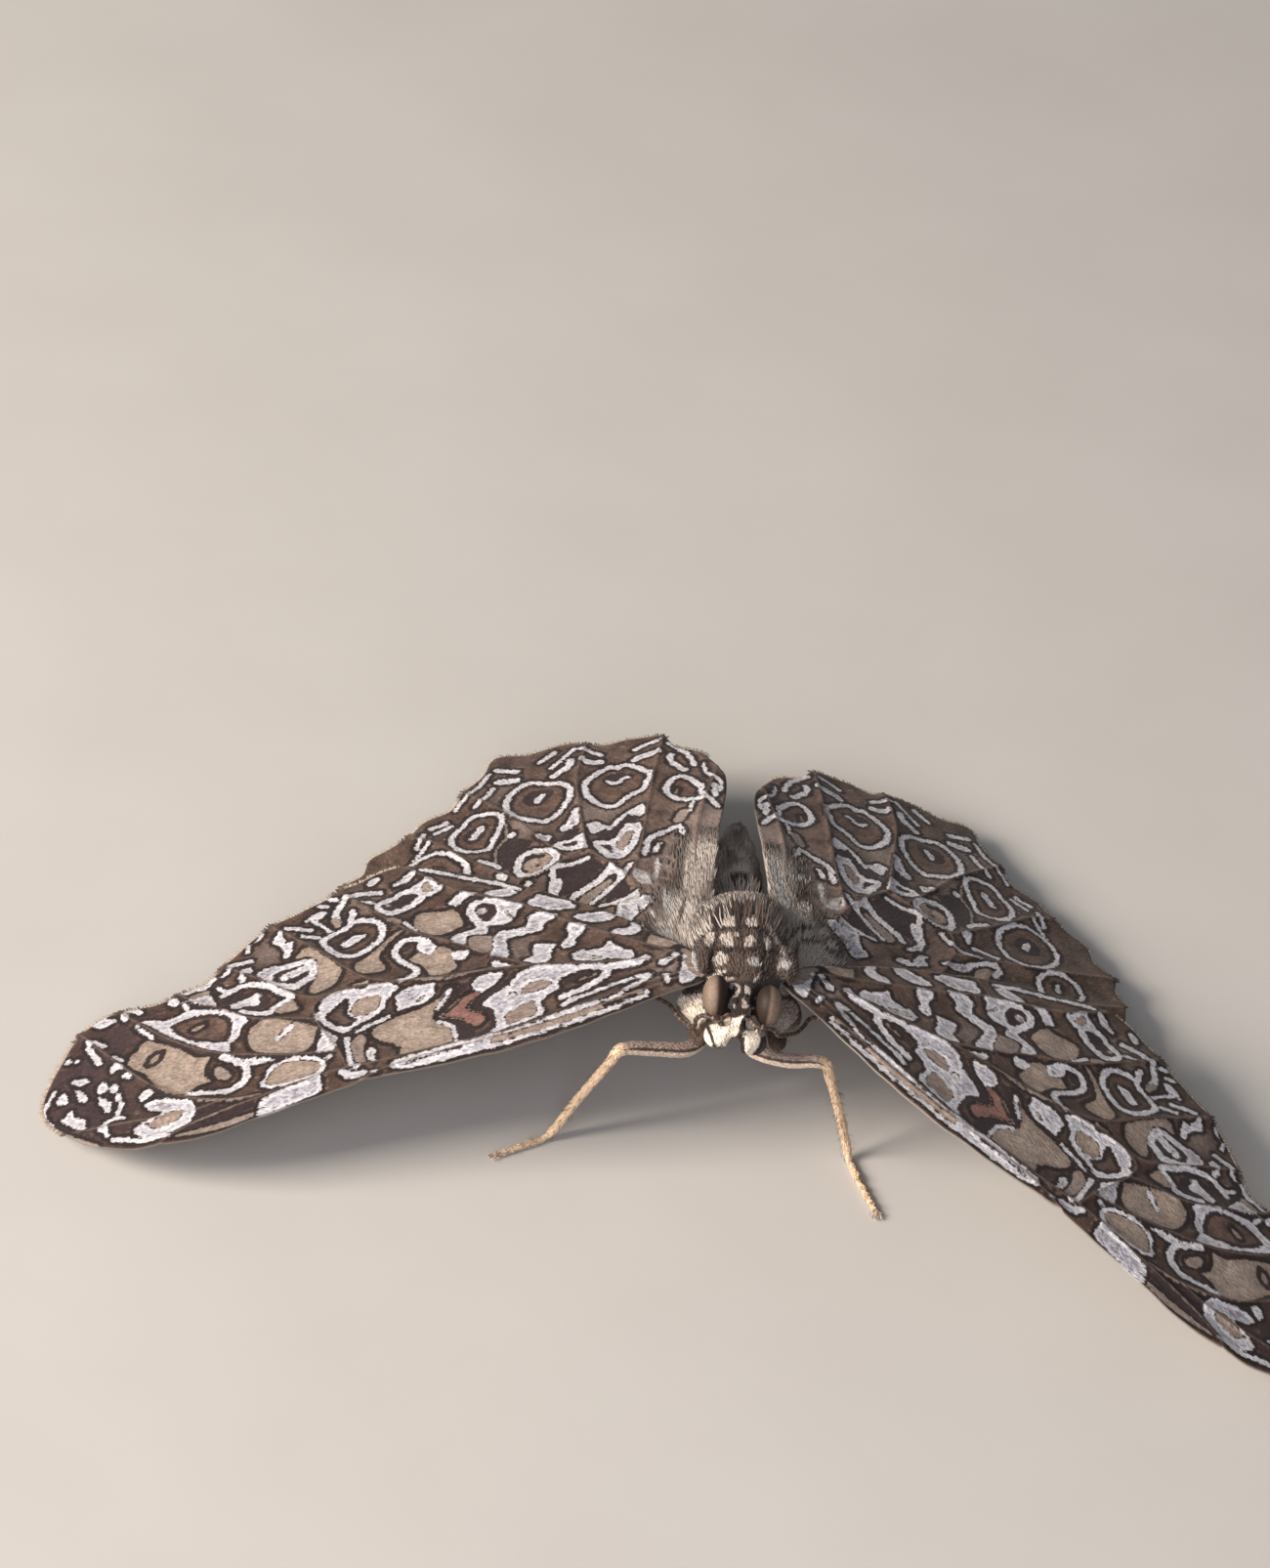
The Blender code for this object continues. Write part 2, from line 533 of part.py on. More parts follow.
def main():
    clear_scene()
    parts = add_collection("variable_cracker_butterfly")
    cutters = add_collection("cutters")
    scales = add_material("wing_scales", COLOURS["scales"], 0.85)
    hair = add_material("body_hair", COLOURS["hair"], 0.95)
    face = add_material("face_scales", COLOURS["face"], 0.9)
    eye_surface = add_material("eye_surface", COLOURS["eye"], 0.3)
    cuticle = add_material("cuticle", COLOURS["cuticle"], 0.6)

    def paint(obj, material):
        obj.data.materials.clear()
        obj.data.materials.append(material)

    def pads(collection, grow=0.0):
        """The flaps over the forewing roots and the shoulders under them."""
        made = []
        for (x, y, z), half in (TEGULA, SHOULDER):
            for side in SIDES.values():
                made.append(add_ellipsoid("pad", (side * x, y, z), half, collection, grow))
        return made

    # The body is one row of lofts with a gap at the neck and at the waist.
    thorax = add_loft("thorax", THORAX_SECTIONS, parts)
    join_pieces(thorax, pads(parts), parts)
    paint(thorax, hair)
    abdomen = add_loft(
        "abdomen", ABDOMEN_SECTIONS, parts, groove=ring_groove, bend=ABDOMEN_BEND
    )
    paint(abdomen, hair)
    head = add_loft("head", HEAD_SECTIONS, parts)
    neck = Matrix.Translation(Vector((*NECK, 0.0)) * MM)
    head.data.transform(neck @ Matrix.Rotation(math.radians(-HEAD_TURN), 4, "Z") @ neck.inverted())

    around_thorax = add_loft("around_thorax", THORAX_SECTIONS, cutters, grow=GAP)
    join_pieces(around_thorax, pads(cutters, GAP), cutters)
    around_abdomen = add_loft(
        "around_abdomen", ABDOMEN_SECTIONS, cutters, grow=GAP, bend=ABDOMEN_BEND
    )
    floor = add_box("below_floor", (-60, -60, -5), (60, 60, 0), cutters)

    head_cutters = []
    for name, side in SIDES.items():
        fore_pose, hind_pose = WING_POSE[name]
        fore_place = wing_place(side, FOREWING_ROOT, fore_pose, FOREWING_CAMBER)
        hind_place = wing_place(side, HINDWING_ROOT, hind_pose, HINDWING_CAMBER)
        forewing = add_wing(
            "forewing_" + name, FOREWING_OUTLINE, FOREWING_VEINS, fore_place, parts, scales
        )
        hindwing = add_wing(
            "hindwing_" + name, HINDWING_OUTLINE, HINDWING_VEINS, hind_place, parts, scales
        )
        cut(forewing, around_thorax)
        cut(hindwing, around_thorax, around_abdomen)

        centre = turned_head(side, *EYE_CENTRE)
        eye = add_ellipsoid("eye_" + name, centre, EYE_RADII, parts)
        paint(eye, eye_surface)
        socket = add_ellipsoid("socket_" + name, centre, EYE_RADII, cutters, GAP)
        head_cutters.append(socket)

        palp = add_tube("palp_" + name, palp_points(side), 0.35, parts)
        antenna = add_tube("antenna_" + name, antenna_points(side, fore_place), 0.6, parts)
        paint(antenna, cuticle)
        around_antenna = add_tube(
            "around_antenna_" + name, antenna_points(side, fore_place)[:6], 0.6, cutters, GAP
        )
        around_palp = add_tube("around_palp_" + name, palp_points(side), 0.35, cutters, GAP)
        head_cutters += [around_antenna, around_palp]
        cut(palp, socket, around_antenna)
        paint(palp, face)

        legs = (
            ("foreleg_", mirrored(FORELEG, side)),
            ("midleg_", [(Vector(point), radius) for point, radius in MIDLEG[name]]),
            ("hindleg_", mirrored(HINDLEG, side)),
        )
        for prefix, points in legs:
            leg = add_tube(prefix + name, points, LEG_STEP, parts)
            paint(leg, cuticle)
            cut(leg, around_thorax, floor)
    cut(head, *head_cutters)
    paint(head, face)
    for cutter in cutters.all_objects:
        make_cutter(cutter)
    to_origin = Matrix.Translation(Vector((-CENTRE[0], -CENTRE[1], 0.0)) * MM)
    for obj in [*parts.all_objects, *cutters.all_objects]:
        obj.data.transform(to_origin)


main()
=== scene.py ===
# %% [markdown]
# # A variable cracker butterfly, resting head down
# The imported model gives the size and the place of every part. This lesson dresses it: patterned wings,
# a furry body, faceted eyes, legs and feelers. All lengths are in millimetres and are turned into
# metres where a mesh is made.

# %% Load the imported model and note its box
import math

import bpy
import numpy as np
from mathutils import Matrix, Vector
from mathutils.geometry import delaunay_2d_cdt


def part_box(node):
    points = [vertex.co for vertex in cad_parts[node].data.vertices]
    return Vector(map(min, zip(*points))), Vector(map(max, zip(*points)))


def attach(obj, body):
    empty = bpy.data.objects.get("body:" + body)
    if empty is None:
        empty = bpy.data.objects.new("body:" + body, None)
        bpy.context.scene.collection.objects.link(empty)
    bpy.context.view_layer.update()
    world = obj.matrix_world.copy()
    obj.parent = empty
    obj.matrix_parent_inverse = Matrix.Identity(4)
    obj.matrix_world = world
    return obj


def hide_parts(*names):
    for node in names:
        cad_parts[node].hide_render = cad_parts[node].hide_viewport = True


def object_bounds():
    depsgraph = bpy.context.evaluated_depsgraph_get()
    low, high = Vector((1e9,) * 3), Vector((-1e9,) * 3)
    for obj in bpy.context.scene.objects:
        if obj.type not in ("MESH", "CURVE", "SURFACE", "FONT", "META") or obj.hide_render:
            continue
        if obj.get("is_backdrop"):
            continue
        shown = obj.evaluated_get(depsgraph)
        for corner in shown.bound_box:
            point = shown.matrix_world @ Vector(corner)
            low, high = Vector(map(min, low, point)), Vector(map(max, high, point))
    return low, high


MM = 0.001
CENTRE = np.array((-1.703, 3.871, 0.0))  # the model was centred by this much
SIDES = {"right": -1, "left": 1}
FLOOR_GAP = 0.01  # nothing of the butterfly lies lower

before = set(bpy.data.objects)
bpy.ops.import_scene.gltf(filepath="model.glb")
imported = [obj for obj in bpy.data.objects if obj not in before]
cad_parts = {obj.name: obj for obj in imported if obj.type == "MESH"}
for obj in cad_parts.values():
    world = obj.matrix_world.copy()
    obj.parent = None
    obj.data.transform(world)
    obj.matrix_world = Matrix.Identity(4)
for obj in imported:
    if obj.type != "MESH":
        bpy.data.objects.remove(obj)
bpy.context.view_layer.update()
bpy.ops.object.select_all(action="DESELECT")

# %% [markdown]
# ## Camera
# The picture looks down on the butterfly from in front of its head, with a long lens and a little
# roll. Its place is worked out from where it points, how far off it is and its two angles.


# %% Set up the camera
def aim(azimuth, elevation, roll):
    """The camera's sideways, upward and forward directions, from three angles in degrees."""
    az, el, turn = (math.radians(angle) for angle in (azimuth, elevation, roll))
    forward = -np.array((-math.sin(az) * math.cos(el), -math.cos(az) * math.cos(el), math.sin(el)))
    sideways = np.cross(forward, (0, 0, 1))
    sideways /= np.linalg.norm(sideways)
    upward = np.cross(sideways, forward)
    turned = math.cos(turn) * sideways + math.sin(turn) * upward
    return turned, math.cos(turn) * upward - math.sin(turn) * sideways, forward


AIM = aim(4.466, 40.0, 8.152)
TARGET = np.array((-3.967, 24.609, 0.6))
DISTANCE = 300.0
LENS = 133.68
SENSOR = 36.0
PICTURE = (1300, 1605)
EYE_POINT = TARGET - DISTANCE * AIM[2]
camera_data = bpy.data.cameras.new("long_lens")
camera_data.lens = LENS
camera_data.sensor_width = SENSOR
camera_data.sensor_fit = "HORIZONTAL"
camera_data.clip_start = 0.01
camera = bpy.data.objects.new("camera", camera_data)
bpy.context.scene.collection.objects.link(camera)
turn = Matrix(np.column_stack((AIM[0], AIM[1], -AIM[2])).tolist()).to_4x4()
camera.matrix_world = Matrix.Translation(Vector(EYE_POINT * MM)) @ turn
bpy.context.scene.camera = camera
print("camera", [round(float(v), 1) for v in EYE_POINT])

# %% [markdown]
# ## Floor and light
# A plain pale floor and soft lamps. The light comes from the upper left, so that the near wing is bright
# and the far one falls into half shade, and a weak fill keeps the shadows open.


# %% Helpers for colours, nodes and objects
def linear(hex_colour):
    """An sRGB hex colour as the linear colour that shaders take."""
    values = [int(hex_colour[i : i + 2], 16) / 255 for i in (1, 3, 5)]
    return [v / 12.92 if v <= 0.04045 else ((v + 0.055) / 1.055) ** 2.4 for v in values] + [1.0]


def add_node(tree, kind, inputs=None, **settings):
    """Adds a node. An input is given a value, or the socket that feeds it."""
    made = tree.nodes.new(kind)
    for name, value in settings.items():
        setattr(made, name, value)
    for name, value in (inputs or {}).items():
        if isinstance(value, bpy.types.NodeSocket):
            tree.links.new(value, made.inputs[name])
        else:
            made.inputs[name].default_value = value
    return made


def new_finish(name, roughness, specular=0.5):
    """A material with its shader node, ready for a pattern."""
    material = bpy.data.materials.new(name)
    material.use_nodes = True
    shader = material.node_tree.nodes["Principled BSDF"]
    shader.inputs["Roughness"].default_value = roughness
    shader.inputs["Specular IOR Level"].default_value = specular
    return material, material.node_tree, shader


def read(tree, attribute):
    """The number that the mesh stores under this name."""
    return add_node(tree, "ShaderNodeAttribute", attribute_name=attribute).outputs["Fac"]


def maths(tree, operation, *values):
    return add_node(tree, "ShaderNodeMath", dict(enumerate(values)), operation=operation).outputs[0]


def mixed(tree, share, first, second, blend="MIX"):
    """Two colours mixed. A hex colour may stand for a socket."""
    first, second = (linear(c) if isinstance(c, str) else c for c in (first, second))
    inputs = {0: share, 6: first, 7: second}
    return add_node(tree, "ShaderNodeMix", inputs, data_type="RGBA", blend_type=blend).outputs[2]


def ramp(tree, source, low, high):
    """A smooth step from 0 at low to 1 at high."""
    inputs = {"Value": source, "From Min": low, "From Max": high}
    made = add_node(tree, "ShaderNodeMapRange", inputs, interpolation_type="SMOOTHSTEP")
    return made.outputs["Result"]


def set_bump(tree, shader, height, strength, distance):
    """Tilts the surface in the light as this height would."""
    inputs = {"Strength": strength, "Distance": distance, "Height": height}
    tree.links.new(add_node(tree, "ShaderNodeBump", inputs).outputs[0], shader.inputs["Normal"])


def object_place(tree):
    return add_node(tree, "ShaderNodeTexCoord").outputs["Object"]


def cell_tone(tree, cells):
    """A random number that is the same all over one cell of a cell pattern."""
    return add_node(tree, "ShaderNodeSeparateColor", {0: cells.outputs["Color"]}).outputs[0]


def noise(tree, where, scale, detail=4.0, roughness=0.6):
    inputs = {"Vector": where, "Scale": scale, "Detail": detail, "Roughness": roughness}
    return add_node(tree, "ShaderNodeTexNoise", inputs).outputs["Fac"]


def add_mesh(name, points, faces, material):
    """An object at the origin with this mesh, from points in millimetres, with smooth faces."""
    mesh = bpy.data.meshes.new(name)
    mesh.from_pydata((np.asarray(points) * MM).tolist(), [], [list(map(int, f)) for f in faces])
    mesh.polygons.foreach_set("use_smooth", [True] * len(mesh.polygons))
    mesh.materials.append(material)
    obj = bpy.data.objects.new(name, mesh)
    bpy.context.scene.collection.objects.link(obj)
    return obj


def add_values(obj, name, values):
    """Stores one number for each point of the mesh, for the material to read."""
    attribute = obj.data.attributes.new(name, "FLOAT", "POINT")
    attribute.data.foreach_set("value", np.asarray(values, np.float32))


print("helpers ready")

# %% Floor, lamps and sky
floor_finish, tree, shader = new_finish("matt_painted_board", 0.9, 0.2)
grain = add_node(tree, "ShaderNodeTexNoise", {"Scale": 220.0, "Detail": 4.0})
tree.links.new(mixed(tree, grain.outputs["Fac"], "#b4b0ab", "#bdbab5"), shader.inputs["Base Color"])
bpy.ops.mesh.primitive_plane_add(size=3.0)
floor = bpy.context.object
floor.name = "floor"
floor.data.materials.append(floor_finish)
floor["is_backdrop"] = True


def add_lamp(name, place, size, power, colour):
    """A soft square lamp that looks at the butterfly. Place and size are in millimetres."""
    data = bpy.data.lights.new(name, "AREA")
    data.size = size * MM
    data.energy = power
    data.color = linear(colour)[:3]
    lamp = bpy.data.objects.new(name, data)
    bpy.context.scene.collection.objects.link(lamp)
    lamp.location = Vector(place) * MM
    lamp.rotation_mode = "QUATERNION"
    lamp.rotation_quaternion = (-lamp.location).to_track_quat("-Z", "Y")


add_lamp("window", (-445, -120, 265), 220, 5.3, "#fff4e8")
add_lamp("fill", (-150, -400, 240), 380, 1.5, "#f4f4ff")
world = bpy.data.worlds.new("soft_room")
world.use_nodes = True
world.node_tree.nodes["Background"].inputs["Color"].default_value = linear("#e6e9ef")
world.node_tree.nodes["Background"].inputs["Strength"].default_value = 0.27
bpy.context.scene.world = world
bpy.context.scene.view_settings.view_transform = "Standard"

# %% [markdown]
# ## Wings: where a place on the flat wing ends up
# A butterfly's wing is easiest to draw laid flat, like a specimen on a board: x runs from the root to
# the tip and y towards the leading edge. One function then carries each flat place to the resting
# wing, by a sweep, a droop and a pitch, with a slight downward curve. Left and right are mirrored.

# %% The shapes and poses of the wings
FOREWING_ROOT = (2.6, 0.0, 10.05)
HINDWING_ROOT = (2.0, 2.7, 8.95)
FOREWING_CAMBER = 0.0028
HINDWING_CAMBER = 0.0018
WING_POSE = {  # side: (forewing sweep, droop, pitch), (hindwing sweep, droop, pitch)
    "right": ((13.2, 8.0, -1.5), (-46.5, 12.0, -4.0)),
    "left": ((31.2, 10.0, -2.5), (-44.6, 12.5, -7.0)),
}
FOREWING_OUTLINE = """
-.5 -.3 2.5 .5 5 1.2 10 2.2 15 2.4 20 2.2 25 2.6 29 3 32 2.7 34.5 1.8 36.6 .2 37.9 -2 38 -3.8 37 -5.9
35.6 -8 34 -9.3 32.2 -9.4 30.4 -9.2 28.6 -9.5 26.8 -10.3 25.4 -11.7 23.9 -12.9 22 -13.8 19.6 -14.7
17.4 -15.6 15.2 -16.2 13.4 -15.7 11 -14.2 8.3 -12.1 5 -9.1 2.5 -6.4 .8 -4.2 -.5 -2.4
"""
HINDWING_OUTLINE = """
0 .8 2 3.2 5 6.2 9 9.2 13 11.3 17 12.4 20 12 21.9 10.7 22.7 9.2 23.7 8.3 23.7 6.6 24.7 5 24.3 2.4
24.9 .6 24.5 -1.4 25.4 -3.4 25.8 -5.2 26.8 -7 25.3 -8.7 24.4 -10.7 22.4 -11.9 21.4 -13.6 20 -15
18.2 -14.8 16.4 -15.3 14.4 -14.7 12.7 -13.8 9 -9.6 5 -5.2 2.5 -2.7 .6 -1
"""
FOREWING_VEINS = """
.8 -.6 8 1 14 1.45 18.4 1.7 20.3 2.2
.8 -1 4.5 -.3 9 .65 13 1.15 19 1.1 21.5 .95 26 1.4 30 1.95 32 2.6
25.9 1.3 28 .8 30.2 -.4 32 -2.4 33.6 -5.2 35.2 -8.4
28 .8 30.5 .9 34 .2 36.8 -.3
20.9 .95 21.1 -.6 21.9 -3.8 21.5 -5.3 19 -5.7
21.1 -.6 23.5 -1.25 25.2 -1.95 27.1 -2.8 28.9 -4.1 30.5 -5.9 32.7 -9.2
21.9 -3.8 23.6 -4.6 25.2 -5.2 26.7 -6.6 28.1 -8 29.3 -9.4
19 -5.7 21.6 -5.7 22.9 -6.7 24.2 -8.4 26.2 -10.6
16.6 -5.2 18.4 -6.2 19.5 -7.7 20.4 -9.4 21.5 -11 23 -13.3
9.3 -4.2 11 -5.6 12.8 -7.4 14.2 -8.6 15.5 -9.9 16.7 -11.8 18.5 -14.9
.8 -2.2 3.4 -2.75 6.5 -3.4 9.3 -4.1 13 -4.6 16.6 -5.2 19 -5.7
.8 -2.8 4 -5.4 6.4 -7.6 8.6 -9.9 10.8 -11.6 12.4 -13 14.3 -15.8
"""
HINDWING_VEINS = """
.9 1.2 6.5 6.4 13 10.2 20 12
.9 .5 6 2.8 10 4.2 13.5 3
10 4.2 16 8.2 21.9 10.7
13.5 3 18.5 5.9 23.7 8.3
13.5 3 14.9 1.4 14.5 0 14.4 -1.6 14.2 -3.3
14.9 1.4 19 1.8 22.5 1.8 24.4 2.4
14.4 -1.9 17.5 -2.4 21 -3 25 -3
14.2 -3.3 15.8 -4.6 18.8 -6.9 20.8 -8.6 23 -11.4
9.6 -2.9 10.5 -4.1 12 -6 13.6 -7.8 15.2 -9.6 16.8 -11.4 19.6 -14.8
.9 -.3 5.5 -1.2 8.5 -2.5 11.5 -3.2 14.2 -3.3
2 -1.6 7 -5.8 11 -9.8 14.4 -14.7
"""


def marks_in(text):
    """The marks of a drawing, one a line. A line that starts with a blank goes on with the one before."""
    return text.strip().replace("\n ", " ").splitlines()


def pairs(text):
    """Numbers in a line of text as places, two numbers each."""
    return np.array(text.split(), float).reshape(-1, 2)


def wing_place(side, root, pose, camber):
    """A function from places on the flat wing, and heights above it, to places on the model."""
    sweep, droop, pitch = (math.radians(angle) for angle in pose)
    turned = Matrix.Rotation(pitch, 3, "X") @ Matrix.Rotation(droop, 3, "Y")
    turned = np.array(turned @ Matrix.Rotation(-sweep, 3, "Z"))

    def place(flat, rise=0.0):
        x, y = np.asarray(flat, float).T
        local = np.column_stack((x, -y, rise - camber * (x * x + y * y)))
        return (local @ turned.T + root) * (side, 1, 1) - CENTRE

    return place


def smooth_line(points, closed, step):
    """Places about one step apart on a smooth curve through the given ones."""
    made = []
    count = len(points)
    for i in range(count if closed else count - 1):
        if closed:
            a, b, c, d = (points[(i + k) % count] for k in (-1, 0, 1, 2))
        else:
            b, c = points[i], points[i + 1]
            a = points[i - 1] if i else 2 * b - c
            d = points[i + 2] if i + 2 < count else 2 * c - b
        for t in np.arange(0, 1, 1 / max(1, round(np.linalg.norm(c - b) / step))):
            bend = (2 * a - 5 * b + 4 * c - d) * t * t + (3 * b - 3 * c + d - a) * t**3
            made.append(b + ((c - a) * t + bend) / 2)
    if not closed:
        made.append(points[-1])
    return np.array(made)


print("flat forewing:", np.ptp(pairs(FOREWING_OUTLINE), 0), "hindwing:", np.ptp(pairs(HINDWING_OUTLINE), 0))
